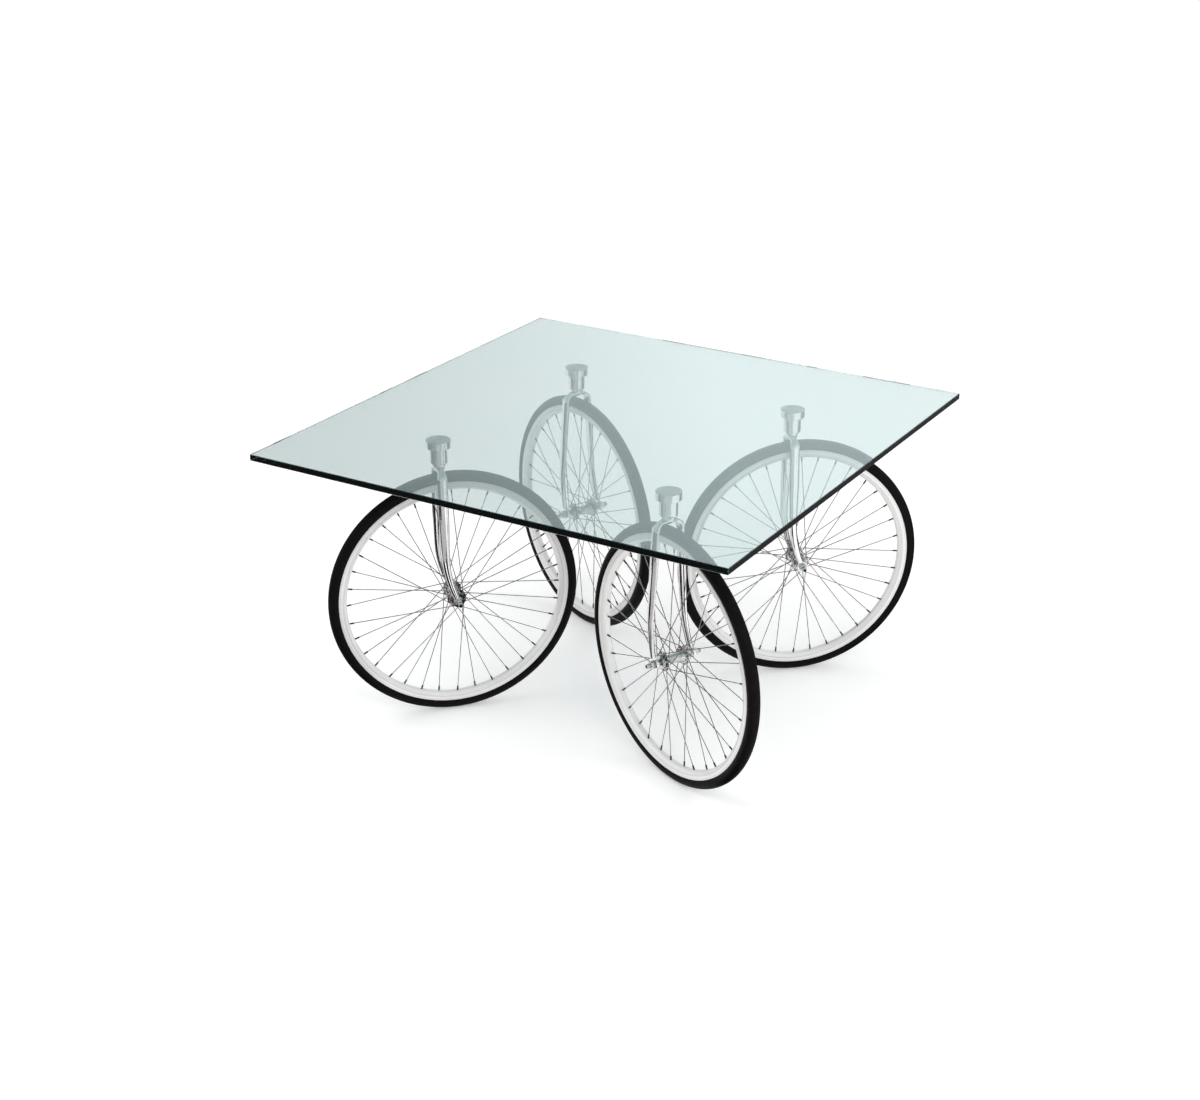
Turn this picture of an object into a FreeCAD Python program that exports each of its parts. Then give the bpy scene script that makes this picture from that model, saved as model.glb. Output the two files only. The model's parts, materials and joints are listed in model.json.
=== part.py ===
import FreeCAD, Part
import math
import os
import Sketcher
from FreeCAD import Placement, Rotation, Vector

# Sizes in millimetres and degrees, each written once
sizes = {
    # glass top
    "top_side": 1200,
    "top_thickness": 15,
    "top_arris": 1.2,
    # room between neighbouring wheels, and how each fork and wheel stands
    "wheel_room": 4,
    "front_left_turn": 47.5,
    "front_right_turn": -24.7,
    "rear_left_turn": -25,
    "rear_right_turn": 41,
    "front_left_spin": 0,
    "front_right_spin": 0,
    "rear_left_spin": 0,
    "rear_right_spin": 0,
    # clearances and contact fits
    "running_clearance": 0.05,
    "fit_clearance": 0.04,
    "face_clearance": 0.4,
    "joint_gap": 0.1,
    # mounting disc
    "disc_diameter": 58,
    "disc_height": 18,
    "disc_arris": 0.8,
    "recess_diameter": 31,
    "recess_depth": 10,
    # swivel cup and its bearings
    "cup_diameter": 41.5,
    "cup_height": 38,
    "cup_round": 3.5,
    "cup_bore": 27,
    "cup_lip": 2,
    "spigot_diameter": 36,
    "spigot_height": 4,
    "bearing_diameter": 32,
    "bearing_bore": 20,
    "bearing_width": 7,
    # spindle, its nut and the crown race
    "spindle_tail": 1.5,
    "spindle_inset": 1.5,
    "spindle_nut_across": 24,
    "spindle_nut_height": 4.5,
    "race_diameter": 31,
    "race_height": 5,
    "race_boss_diameter": 25,
    "race_round": 1.2,
    # fork crown
    "tyre_gap": 6,
    "tyre_side_gap": 10.75,
    "crown_thickness": 12,
    "crown_drop": 12,
    "crown_edge": 4,
    "crown_apex_width": 14,
    "crown_lip": 0.8,
    "crown_round": 4,
    "crown_neck_diameter": 27,
    "crown_neck_height": 2,
    "plug_length": 18,
    # fork blades
    "trail": 26,
    "fork_bend": 22,
    "blade_depth": 24,
    "blade_breadth": 14.5,
    "blade_wall": 1.5,
    "blade_full_length": 95,
    "tip_depth": 13,
    "tip_breadth": 11,
    "tip_reach": 14,
    # fork ends
    "end_thickness": 5,
    "end_diameter": 25,
    "end_shoulder_width": 21,
    "end_neck_width": 12,
    "end_slot_width": 10.4,
    "tang_width": 6.4,
    "tang_thickness": 4,
    "tang_length": 7,
    # axle and its hardware
    "axle_diameter": 10,
    "axle_chamfer": 0.8,
    "axle_tail": 9,
    "locknut_width": 96,
    "locknut_height": 5,
    "locknut_across": 17,
    "collar_diameter": 15,
    "washer_diameter": 20,
    "washer_thickness": 2,
    "axle_nut_across": 15,
    "axle_nut_height": 9,
    "nut_chamfer": 1.2,
    # hub
    "hub_width": 76,
    "hub_waist_diameter": 22,
    "hub_waist_width": 24,
    "hub_round": 6,
    "hub_bore": 14,
    "hub_nose_diameter": 30,
    "hub_nose_root_diameter": 32,
    "hub_bearing_diameter": 26,
    "hub_bearing_width": 8,
    "flange_diameter": 45,
    "flange_thickness": 3,
    "flange_spacing": 54,
    "spoke_hole_diameter": 2.6,
    "spoke_pitch_diameter": 38,
    # spokes and nipples
    "spoke_diameter": 2,
    "spoke_head_diameter": 4,
    "spoke_head_height": 1.2,
    "spoke_bend": 2,
    "spoke_rise": 0.9,
    "spoke_cross_angle": 60,
    "spoke_stop": 1.5,
    "nipple_diameter": 4,
    "nipple_length": 13,
    "nipple_head_diameter": 6,
    "nipple_head_height": 2,
    "nipple_seat": 0.5,
    # rim
    "rim_width": 24,
    "rim_wall": 2.2,
    "rim_wall_height": 12,
    "rim_depth": 20,
    "rim_bed_width": 10,
    "rim_bed_thickness": 4,
    "rim_hole_diameter": 4.8,
    "rim_hole_offset": 2,
    # tyre
    "tyre_diameter": 596,
    "tyre_section": 28,
    "tyre_seat_depth": 5,
    "tyre_seat_gap": 0.3,
    "tread_pitch": 2.4,
    "tread_groove_width": 1,
    "tread_groove_depth": 0.8,
}
spokes_per_side = 18
tread_grooves_per_side = 3
corner_signs = {
    "front_left": (-1, -1),
    "front_right": (1, -1),
    "rear_left": (-1, 1),
    "rear_right": (1, 1),
}

doc = FreeCAD.newDocument("wheeled_table")
sheet = doc.addObject("Spreadsheet::Sheet", "Sizes")
for row, (alias, number) in enumerate(sizes.items(), 1):
    sheet.set(f"A{row}", alias.replace("_", " "))
    sheet.set(f"B{row}", str(number))
    sheet.setAlias(f"B{row}", alias)
doc.recompute()


def size(name):
    return float(sheet.get(name))


def worked(text):
    return float(sheet.evalExpression(text))


def origin_plane(body, role):
    return next(feature for feature in body.Origin.OriginFeatures if feature.Role == role)


def new_sketch(body, name, role):
    sketch = body.newObject("Sketcher::SketchObject", name)
    sketch.AttachmentSupport = [(origin_plane(body, role), "")]
    sketch.MapMode = "FlatFace"
    return sketch


# A closed outline, each corner held by its two distances from the sketch origin
def add_outline(sketch, corners):
    points = [Vector(worked(x), worked(y), 0) for x, y in corners]
    first = sketch.GeometryCount
    count = len(points)
    for index in range(count):
        sketch.addGeometry(Part.LineSegment(points[index], points[(index + 1) % count]))
    for index in range(count):
        sketch.addConstraint(
            Sketcher.Constraint("Coincident", first + index, 2, first + (index + 1) % count, 1)
        )
    for index, (x, y) in enumerate(corners):
        for kind, text, number in (("DistanceX", x, points[index].x), ("DistanceY", y, points[index].y)):
            held = sketch.addConstraint(Sketcher.Constraint(kind, -1, 1, first + index, 1, number))
            sketch.setExpression(f"Constraints[{held}]", text)


def add_circle(sketch, x, y, radius):
    centre = Vector(worked(x), worked(y), 0)
    index = sketch.addGeometry(Part.Circle(centre, Vector(0, 0, 1), worked(radius)))
    for kind, text in (("DistanceX", x), ("DistanceY", y)):
        held = sketch.addConstraint(Sketcher.Constraint(kind, -1, 1, index, 3, worked(text)))
        sketch.setExpression(f"Constraints[{held}]", text)
    held = sketch.addConstraint(Sketcher.Constraint("Radius", index, worked(radius)))
    sketch.setExpression(f"Constraints[{held}]", radius)


def new_body(name):
    return doc.addObject("PartDesign::Body", name)


# A body turned from one outline, about the upright axis on XZ_Plane or about the axle on XY_Plane
def turned_body(name, role, corners):
    body = new_body(name)
    sketch = new_sketch(body, f"{name}Outline", role)
    add_outline(sketch, corners)
    turn = body.newObject("PartDesign::Revolution", f"{name}Turn")
    turn.Profile = sketch
    turn.ReferenceAxis = (sketch, ["V_Axis"])
    turn.Angle = 360
    doc.recompute()
    return body


# Names of the circular edges with this radius at any of these distances along the axis
def circle_edges(feature, radius, axis, distances):
    names = []
    for index, edge in enumerate(feature.Shape.Edges, 1):
        curve = edge.Curve
        if not isinstance(curve, Part.Circle) or abs(curve.Radius - radius) > 0.001:
            continue
        along = getattr(curve.Center, axis)
        if any(abs(along - distance) < 0.001 for distance in distances):
            names.append(f"Edge{index}")
    return names


def dress_edges(body, kind, name, edges, text):
    base = body.Tip
    dress = body.newObject(f"PartDesign::{kind}", name)
    dress.Base = (base, edges)
    field = "Radius" if kind == "Fillet" else "Size"
    setattr(dress, field, worked(text))
    dress.setExpression(field, text)
    doc.recompute()
    return dress


def pocket_through(body, name, sketch, both_ways):
    pocket = body.newObject("PartDesign::Pocket", name)
    pocket.Profile = sketch
    pocket.Type = "ThroughAll"
    pocket.Midplane = both_ways
    doc.recompute()
    return pocket


# A hexagon nut standing on its own axis, with the outer corners turned off
def nut_body(name, across, bore, height):
    corner = f"({across}) / sqrt(3)"
    blank_radius = f"2 * {corner}"
    body = turned_body(name, "XZ_Plane", [
        (f"({bore}) / 2", "0"),
        (corner, "0"),
        (corner, f"({height}) - Sizes.nut_chamfer / 2"),
        (f"{corner} - Sizes.nut_chamfer", height),
        (f"({bore}) / 2", height),
    ])
    sketch = new_sketch(body, f"{name}Flats", "XY_Plane")
    angles = [f"{60 * index} deg" for index in range(6)]
    add_outline(sketch, [(f"{corner} * cos({angle})", f"{corner} * sin({angle})") for angle in angles])
    add_circle(sketch, "0", "0", blank_radius)
    pocket_through(body, f"{name}Hexagon", sketch, True)
    return body


def placed(thing, base, rotation):
    thing.setExpression("Placement", f"placement(vector({'; '.join(base)}); {rotation})")
    return thing


def link_to(name, master, base=("0", "0", "0"), rotation="rotation(vector(0; 0; 1); 0)"):
    link = doc.addObject("App::Link", name)
    link.LinkedObject = master
    return placed(link, base, rotation)


def gathered(name, members):
    group = doc.addObject("Part::Compound", name)
    group.Links = members
    return group


# Heights above the floor, and the places that several pieces share
swivel_spacing = "(Sizes.tyre_diameter + Sizes.wheel_room)"
axle_z = "(Sizes.tyre_diameter / 2)"
arch_z = "(Sizes.tyre_diameter + Sizes.tyre_gap)"
crown_z = f"({arch_z} + Sizes.crown_thickness)"
cup_z = f"({crown_z} + Sizes.race_height)"
disc_z = f"({cup_z} + Sizes.cup_height)"
spigot_z = f"({disc_z} + Sizes.spigot_height)"
glass_z = f"({disc_z} + Sizes.disc_height)"
lower_bearing_z = f"({cup_z} + Sizes.cup_lip)"
upper_bearing_z = f"({spigot_z} - Sizes.bearing_width)"
spindle_nut_z = f"({spigot_z} + Sizes.face_clearance)"
seat_radius = "(Sizes.bearing_diameter / 2 + Sizes.fit_clearance)"
spindle_radius = "(Sizes.bearing_bore / 2 - Sizes.running_clearance)"
spindle_hole = f"({spindle_radius} + Sizes.fit_clearance)"

# Glass top
glass = new_body("GlassTop")
glass_outline = new_sketch(glass, "GlassOutline", "XY_Plane")
half_side = "Sizes.top_side / 2"
add_outline(glass_outline, [
    (f"-{half_side}", f"-{half_side}"),
    (half_side, f"-{half_side}"),
    (half_side, half_side),
    (f"-{half_side}", half_side),
])
glass_sheet = glass.newObject("PartDesign::Pad", "GlassSheet")
glass_sheet.Profile = glass_outline
glass_sheet.setExpression("Length", "Sizes.top_thickness")
doc.recompute()
glass_edges = [f"Edge{index}" for index in range(1, len(glass_sheet.Shape.Edges) + 1)]
dress_edges(glass, "Chamfer", "GlassArris", glass_edges, "Sizes.top_arris")
glass.setExpression("Placement.Base.z", glass_z)
glass.Label = "glass_top"

# Mounting disc, with a counterbore for the spigot and a blind recess for the spindle nut
disc = turned_body("Disc", "XZ_Plane", [
    ("Sizes.spigot_diameter / 2 + Sizes.fit_clearance", disc_z),
    ("Sizes.disc_diameter / 2", disc_z),
    ("Sizes.disc_diameter / 2", glass_z),
    ("0", glass_z),
    ("0", f"{spigot_z} + Sizes.recess_depth"),
    ("Sizes.recess_diameter / 2", f"{spigot_z} + Sizes.recess_depth"),
    ("Sizes.recess_diameter / 2", spigot_z),
    ("Sizes.spigot_diameter / 2 + Sizes.fit_clearance", spigot_z),
])
disc_rims = circle_edges(disc.Tip, size("disc_diameter") / 2, "z", [worked(disc_z), worked(glass_z)])
dress_edges(disc, "Chamfer", "DiscArris", disc_rims, "Sizes.disc_arris")

# Swivel cup, bored for the spindle with a bearing seat at each end
cup = turned_body("Cup", "XZ_Plane", [
    (seat_radius, cup_z),
    ("Sizes.cup_diameter / 2", cup_z),
    ("Sizes.cup_diameter / 2", disc_z),
    ("Sizes.spigot_diameter / 2", disc_z),
    ("Sizes.spigot_diameter / 2", spigot_z),
    (seat_radius, spigot_z),
    (seat_radius, upper_bearing_z),
    ("Sizes.cup_bore / 2", upper_bearing_z),
    ("Sizes.cup_bore / 2", f"{lower_bearing_z} + Sizes.bearing_width"),
    (seat_radius, f"{lower_bearing_z} + Sizes.bearing_width"),
])
cup_foot = circle_edges(cup.Tip, size("cup_diameter") / 2, "z", [worked(cup_z)])
dress_edges(cup, "Fillet", "CupRound", cup_foot, "Sizes.cup_round")

bearing = turned_body("Bearing", "XZ_Plane", [
    ("Sizes.bearing_bore / 2", "0"),
    ("Sizes.bearing_diameter / 2", "0"),
    ("Sizes.bearing_diameter / 2", "Sizes.bearing_width"),
    ("Sizes.bearing_bore / 2", "Sizes.bearing_width"),
])
bearing_pair = gathered("BearingPair", [
    link_to("LowerBearing", bearing, ("0", "0", lower_bearing_z)),
    link_to("UpperBearing", bearing, ("0", "0", upper_bearing_z)),
])

# Swivel spindle with its nut in the disc's recess
spindle = turned_body("Spindle", "XZ_Plane", [
    ("0", f"{arch_z} + Sizes.spindle_inset"),
    (spindle_radius, f"{arch_z} + Sizes.spindle_inset"),
    (spindle_radius, f"{spindle_nut_z} + Sizes.spindle_nut_height + Sizes.spindle_tail"),
    ("0", f"{spindle_nut_z} + Sizes.spindle_nut_height + Sizes.spindle_tail"),
])
spindle_nut = nut_body(
    "SpindleNut", "Sizes.spindle_nut_across", f"2 * {spindle_hole}", "Sizes.spindle_nut_height"
)
spindle_set = gathered("SpindleSet", [
    link_to("SpindleShaft", spindle),
    link_to("SpindleNutSet", spindle_nut, ("0", "0", spindle_nut_z)),
])

# Crown race between the crown and the lower bearing
race = turned_body("Race", "XZ_Plane", [
    (spindle_hole, crown_z),
    ("Sizes.race_diameter / 2", crown_z),
    ("Sizes.race_diameter / 2", f"{cup_z} - Sizes.face_clearance"),
    ("Sizes.race_boss_diameter / 2", f"{cup_z} - Sizes.face_clearance"),
    ("Sizes.race_boss_diameter / 2", f"{lower_bearing_z} - Sizes.face_clearance"),
    (spindle_hole, f"{lower_bearing_z} - Sizes.face_clearance"),
])
race_top = worked(f"{cup_z} - Sizes.face_clearance")
race_rim = circle_edges(race.Tip, size("race_diameter") / 2, "z", [race_top])
dress_edges(race, "Fillet", "RaceRound", race_rim, "Sizes.race_round")

# Line of a fork blade: straight down from the crown leg, then bent forward to the fork end
end_y = "(Sizes.locknut_width / 2 + Sizes.end_thickness / 2)"
leg_y = "(Sizes.tyre_section / 2 + Sizes.tyre_side_gap + Sizes.blade_breadth / 2)"
leg_z = f"({arch_z} - Sizes.crown_drop)"
tip_x = "(Sizes.trail - Sizes.tip_reach * sin(Sizes.fork_bend * 1 deg))"
tip_z = f"({axle_z} + Sizes.tip_reach * cos(Sizes.fork_bend * 1 deg))"
bend_radius = f"({tip_x} / (1 - cos(Sizes.fork_bend * 1 deg)))"
bend_z = f"({tip_z} + {bend_radius} * sin(Sizes.fork_bend * 1 deg))"
splay = f"(({end_y} - {leg_y}) / ({leg_z} - {tip_z}))"
splay_turn = f"atan({splay})"
full_z = f"({leg_z} - Sizes.blade_full_length)"
mid_z = f"(({full_z} + {bend_z}) / 2)"
neck_z = f"({leg_z} - Sizes.plug_length)"
level = "rotation(vector(1; 0; 0); 0)"
lean = f"rotation(vector(1; 0; 0); {splay_turn})"


def blade_y(z):
    return f"{leg_y} + ({leg_z} - {z}) * {splay}"


# Fullness of the blade at a height: one along the crown end, nought at the tip
def blade_share(z):
    return f"min(1; ({z} - {tip_z}) / ({full_z} - {tip_z}))"


def blade_section(name, place, turn, share, outset):
    oval = doc.addObject("Part::Ellipse", name)
    depth = f"(Sizes.tip_depth + (Sizes.blade_depth - Sizes.tip_depth) * {share}) / 2 + {outset}"
    breadth = f"(Sizes.tip_breadth + (Sizes.blade_breadth - Sizes.tip_breadth) * {share}) / 2 + {outset}"
    oval.setExpression("MajorRadius", f"max({depth}; {breadth})")
    oval.setExpression("MinorRadius", f"min({depth}; {breadth})")
    return placed(oval, place, turn)


def loft_through(name, sections):
    loft = doc.addObject("Part::Loft", name)
    loft.Sections = sections
    loft.Solid = True
    loft.Ruled = False
    return loft


def blade_loft(name, outset):
    sections = [blade_section(f"{name}Top", ("0", leg_y, leg_z), level, "1", outset)]
    for index, z in enumerate((neck_z, full_z, mid_z, bend_z)):
        place = ("0", blade_y(z), z)
        sections.append(blade_section(f"{name}Straight{index}", place, lean, blade_share(z), outset))
    bend_steps = 4
    for step in range(1, bend_steps + 1):
        turn = f"(Sizes.fork_bend * {step} / {bend_steps} * 1 deg)"
        x = f"{bend_radius} * (1 - cos({turn}))"
        z = f"({bend_z} - {bend_radius} * sin({turn}))"
        tilt = f"rotation(vector(0; 1; 0); -{turn})"
        if step < bend_steps:
            tilt = f"{lean} * {tilt}"
        place = (x, blade_y(z), z)
        sections.append(blade_section(f"{name}Bend{step}", place, tilt, blade_share(z), outset))
    return loft_through(name, sections)


def mirrored(name, source):
    other = doc.addObject("Part::Mirroring", name)
    other.Source = source
    other.Normal = Vector(0, 1, 0)
    other.Base = Vector(0, 0, 0)
    return other


def cut_from(name, base, tool):
    cut = doc.addObject("Part::Cut", name)
    cut.Base = base
    cut.Tool = tool
    return cut


blade = cut_from("Blade", blade_loft("BladeOutside", "0"), blade_loft("BladeInside", "(-Sizes.blade_wall)"))
blade_pair = gathered("BladePair", [blade, mirrored("BladeMirror", blade)])

# Fork crown: two sloping arms from a round neck, each with a plug that fills the top of its blade
crown_half_depth = "(Sizes.blade_depth / 2 + Sizes.crown_lip)"
foot_half_breadth = "(Sizes.blade_breadth / 2 + Sizes.crown_lip)"
crown_arms = new_body("CrownArms")
arms_outline = new_sketch(crown_arms, "CrownArmsOutline", "YZ_Plane")
half_arms = [
    ("Sizes.crown_apex_width / 2", arch_z),
    (f"{leg_y} - {foot_half_breadth}", leg_z),
    (f"{leg_y} + {foot_half_breadth}", leg_z),
    (f"{leg_y} + {foot_half_breadth}", f"{leg_z} + Sizes.crown_edge"),
    ("Sizes.crown_neck_diameter / 2", f"{crown_z} - Sizes.crown_neck_height"),
]
add_outline(arms_outline, half_arms + [(f"-({y})", z) for y, z in reversed(half_arms)])
arms_pad = crown_arms.newObject("PartDesign::Pad", "CrownArmsPad")
arms_pad.Profile = arms_outline
arms_pad.Midplane = True
arms_pad.setExpression("Length", f"2 * {crown_half_depth}")
doc.recompute()
foot_height = worked(leg_z)
arm_edges = [
    f"Edge{index}"
    for index, edge in enumerate(arms_pad.Shape.Edges, 1)
    if abs(edge.Vertexes[0].X - edge.Vertexes[-1].X) < 0.001
    and any(vertex.Z - foot_height > 0.001 for vertex in edge.Vertexes)
]
dress_edges(crown_arms, "Fillet", "CrownArmsRound", arm_edges, "Sizes.crown_round")
crown_neck = doc.addObject("Part::Cylinder", "CrownNeck")
crown_neck.setExpression("Radius", "Sizes.crown_neck_diameter / 2")
crown_neck.setExpression("Height", "Sizes.crown_thickness")
crown_neck.setExpression("Placement.Base.z", arch_z)
plug_outset = "(-Sizes.blade_wall - Sizes.joint_gap)"
plug_root_z = f"({leg_z} + Sizes.crown_edge / 2)"
plug = loft_through("Plug", [
    blade_section("PlugRoot", ("0", blade_y(plug_root_z), plug_root_z), lean, "1", plug_outset),
    blade_section("PlugFoot", ("0", blade_y(neck_z), neck_z), lean, "1", plug_outset),
])
crown_solid = doc.addObject("Part::MultiFuse", "CrownSolid")
crown_solid.Shapes = [crown_arms, crown_neck, plug, mirrored("PlugMirror", plug)]
crown_solid.Refine = False
crown_bore = doc.addObject("Part::Cylinder", "CrownBore")
crown_bore.setExpression("Radius", spindle_hole)
crown_bore.setExpression("Height", "2 * Sizes.crown_thickness")
crown_bore.setExpression("Placement.Base.z", f"{crown_z} - 1.5 * Sizes.crown_thickness")
crown = cut_from("Crown", crown_solid, crown_bore)

# Slotted fork end: a round plate about the axle, a neck up to the blade tip and a tang inside it
fork_end = new_body("ForkEnd")


def along_blade(along, across):
    bend = "(Sizes.fork_bend * 1 deg)"
    return (
        f"({across}) * cos({bend}) - ({along}) * sin({bend})",
        f"({across}) * sin({bend}) + ({along}) * cos({bend})",
    )


def plate_pad(name, sketch, thickness):
    pad = fork_end.newObject("PartDesign::Pad", name)
    pad.Profile = sketch
    pad.Midplane = True
    pad.setExpression("Length", thickness)
    doc.recompute()


end_eye = new_sketch(fork_end, "EndEyeOutline", "XZ_Plane")
add_circle(end_eye, "0", "0", "Sizes.end_diameter / 2")
plate_pad("EndEye", end_eye, "Sizes.end_thickness")
end_neck = new_sketch(fork_end, "EndNeckOutline", "XZ_Plane")
add_outline(end_neck, [
    along_blade("0", "-Sizes.end_shoulder_width / 2"),
    along_blade("0", "Sizes.end_shoulder_width / 2"),
    along_blade("Sizes.tip_reach", "Sizes.end_neck_width / 2"),
    along_blade("Sizes.tip_reach", "-Sizes.end_neck_width / 2"),
])
plate_pad("EndNeck", end_neck, "Sizes.end_thickness")
end_tang = new_sketch(fork_end, "EndTangOutline", "XZ_Plane")
tang_top = "Sizes.tip_reach + Sizes.tang_length"
tang_foot = "Sizes.tip_reach - Sizes.tang_length / 2"
add_outline(end_tang, [
    along_blade(tang_foot, "-Sizes.tang_width / 2"),
    along_blade(tang_foot, "Sizes.tang_width / 2"),
    along_blade(tang_top, "Sizes.tang_width / 2"),
    along_blade(tang_top, "-Sizes.tang_width / 2"),
])
plate_pad("EndTang", end_tang, "Sizes.tang_thickness")
end_hole = new_sketch(fork_end, "EndHoleOutline", "XZ_Plane")
add_circle(end_hole, "0", "0", "Sizes.end_slot_width / 2")
pocket_through(fork_end, "EndHole", end_hole, True)
end_slot = new_sketch(fork_end, "EndSlotOutline", "XZ_Plane")
add_outline(end_slot, [
    along_blade("0", "-Sizes.end_slot_width / 2"),
    along_blade("0", "Sizes.end_slot_width / 2"),
    along_blade("-Sizes.end_diameter", "Sizes.end_slot_width / 2"),
    along_blade("-Sizes.end_diameter", "-Sizes.end_slot_width / 2"),
])
pocket_through(fork_end, "EndSlot", end_slot, True)
end_pair = gathered("EndPair", [
    link_to("EndRight", fork_end, ("Sizes.trail", end_y, axle_z)),
    link_to("EndLeft", fork_end, ("Sizes.trail", f"-{end_y}", axle_z)),
])

# Axle and its hardware, about the wheel's own centre with the axle along Y
washer_y = "(Sizes.locknut_width / 2 + Sizes.end_thickness)"
nut_y = f"({washer_y} + Sizes.washer_thickness)"
axle_half = f"({nut_y} + Sizes.axle_nut_height + Sizes.axle_tail)"
locknut_y = "(Sizes.locknut_width / 2 - Sizes.locknut_height)"
collar_y = "(Sizes.hub_width / 2 + Sizes.face_clearance)"
axle_hole = "(Sizes.axle_diameter / 2 + Sizes.fit_clearance)"
axle = turned_body("Axle", "XY_Plane", [
    ("0", f"-{axle_half}"),
    ("Sizes.axle_diameter / 2 - Sizes.axle_chamfer", f"-{axle_half}"),
    ("Sizes.axle_diameter / 2", f"-{axle_half} + Sizes.axle_chamfer"),
    ("Sizes.axle_diameter / 2", f"{axle_half} - Sizes.axle_chamfer"),
    ("Sizes.axle_diameter / 2 - Sizes.axle_chamfer", axle_half),
    ("0", axle_half),
])


def ring_body(name, diameter, length):
    return turned_body(name, "XZ_Plane", [
        (axle_hole, "0"),
        (f"{diameter} / 2", "0"),
        (f"{diameter} / 2", length),
        (axle_hole, length),
    ])


washer = ring_body("Washer", "Sizes.washer_diameter", "Sizes.washer_thickness")
collar = ring_body("Collar", "Sizes.collar_diameter", f"{locknut_y} - {collar_y}")
locknut = nut_body("Locknut", "Sizes.locknut_across", f"2 * {axle_hole}", "Sizes.locknut_height")
axle_nut = nut_body("AxleNut", "Sizes.axle_nut_across", f"2 * {axle_hole}", "Sizes.axle_nut_height")
hardware = []
for side, word in ((1, "Right"), (-1, "Left")):
    facing = f"rotation(vector(1; 0; 0); {-90 * side})"
    for name, master, y in (
        ("Collar", collar, collar_y),
        ("Locknut", locknut, locknut_y),
        ("Washer", washer, washer_y),
        ("AxleNut", axle_nut, nut_y),
    ):
        hardware.append(link_to(f"{name}{word}", master, ("0", f"{side} * {y}", "0"), facing))
hardware_set = gathered("HardwareSet", hardware)

# Hub shell with drilled flanges, and the two ring bearings in its ends
flange_in = "(Sizes.flange_spacing / 2 - Sizes.flange_thickness / 2)"
flange_out = "(Sizes.flange_spacing / 2 + Sizes.flange_thickness / 2)"
hub_bearing_y = "(Sizes.hub_width / 2 - Sizes.hub_bearing_width)"
half_hub = [
    ("Sizes.hub_waist_diameter / 2", "Sizes.hub_waist_width / 2"),
    ("Sizes.hub_nose_diameter / 2", flange_in),
    ("Sizes.flange_diameter / 2", flange_in),
    ("Sizes.flange_diameter / 2", flange_out),
    ("Sizes.hub_nose_root_diameter / 2", flange_out),
    ("Sizes.hub_nose_diameter / 2", "Sizes.hub_width / 2"),
    ("Sizes.hub_bearing_diameter / 2 + Sizes.fit_clearance", "Sizes.hub_width / 2"),
    ("Sizes.hub_bearing_diameter / 2 + Sizes.fit_clearance", hub_bearing_y),
    ("Sizes.hub_bore / 2", hub_bearing_y),
]
hub_shell = turned_body("HubShell", "XY_Plane", half_hub + [(r, f"-{y}") for r, y in reversed(half_hub)])
half_waist = size("hub_waist_width") / 2
waist_edges = circle_edges(hub_shell.Tip, size("hub_waist_diameter") / 2, "y", [half_waist, -half_waist])
dress_edges(hub_shell, "Fillet", "HubWaistRound", waist_edges, "Sizes.hub_round")
half_step = 180 / spokes_per_side
for word, phase, reverse in (("Right", 0, False), ("Left", half_step, True)):
    drill = new_sketch(hub_shell, f"Flange{word}Hole", "XZ_Plane")
    add_circle(
        drill,
        f"Sizes.spoke_pitch_diameter / 2 * cos({phase} deg)",
        f"Sizes.spoke_pitch_diameter / 2 * sin({phase} deg)",
        "Sizes.spoke_hole_diameter / 2",
    )
    hole = hub_shell.newObject("PartDesign::Pocket", f"Flange{word}Drill")
    hole.Profile = drill
    hole.Type = "ThroughAll"
    hole.Reversed = reverse
    doc.recompute()
    ring = hub_shell.newObject("PartDesign::PolarPattern", f"Flange{word}Ring")
    ring.Originals = [hole]
    ring.Axis = (drill, ["N_Axis"])
    ring.Angle = 360
    ring.Occurrences = spokes_per_side
    hub_shell.Tip = ring
    doc.recompute()
hub_bearing = turned_body("HubBearing", "XY_Plane", [
    ("Sizes.axle_diameter / 2 + Sizes.running_clearance", "0"),
    ("Sizes.hub_bearing_diameter / 2", "0"),
    ("Sizes.hub_bearing_diameter / 2", "Sizes.hub_bearing_width"),
    ("Sizes.axle_diameter / 2 + Sizes.running_clearance", "Sizes.hub_bearing_width"),
])
hub = gathered("Hub", [
    link_to("HubShellSet", hub_shell),
    link_to("HubBearingRight", hub_bearing, ("0", hub_bearing_y, "0")),
    link_to("HubBearingLeft", hub_bearing, ("0", "-Sizes.hub_width / 2", "0")),
])

# Rim: a channel section with one radial hole for each nipple
rim_radius = "(Sizes.tyre_diameter / 2 - Sizes.tyre_section + Sizes.tyre_seat_depth)"
rim_floor = f"({rim_radius} - Sizes.rim_depth)"
bed_radius = f"({rim_floor} + Sizes.rim_bed_thickness)"
wall_inside = "(Sizes.rim_width / 2 - Sizes.rim_wall)"
half_rim = [
    (bed_radius, "Sizes.rim_bed_width / 2"),
    (f"{rim_radius} - Sizes.rim_wall_height + Sizes.rim_wall", wall_inside),
    (rim_radius, wall_inside),
    (rim_radius, "Sizes.rim_width / 2"),
    (f"{rim_radius} - Sizes.rim_wall_height", "Sizes.rim_width / 2"),
    (f"{rim_floor} + Sizes.rim_wall", "Sizes.rim_width / 2 - 2 * Sizes.rim_wall"),
    (rim_floor, "Sizes.rim_bed_width / 2"),
]
rim = turned_body("Rim", "XY_Plane", half_rim + [(r, f"-({y})") for r, y in reversed(half_rim)])
nipple_radius = f"({rim_floor} + Sizes.rim_bed_thickness / 2)"
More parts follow.
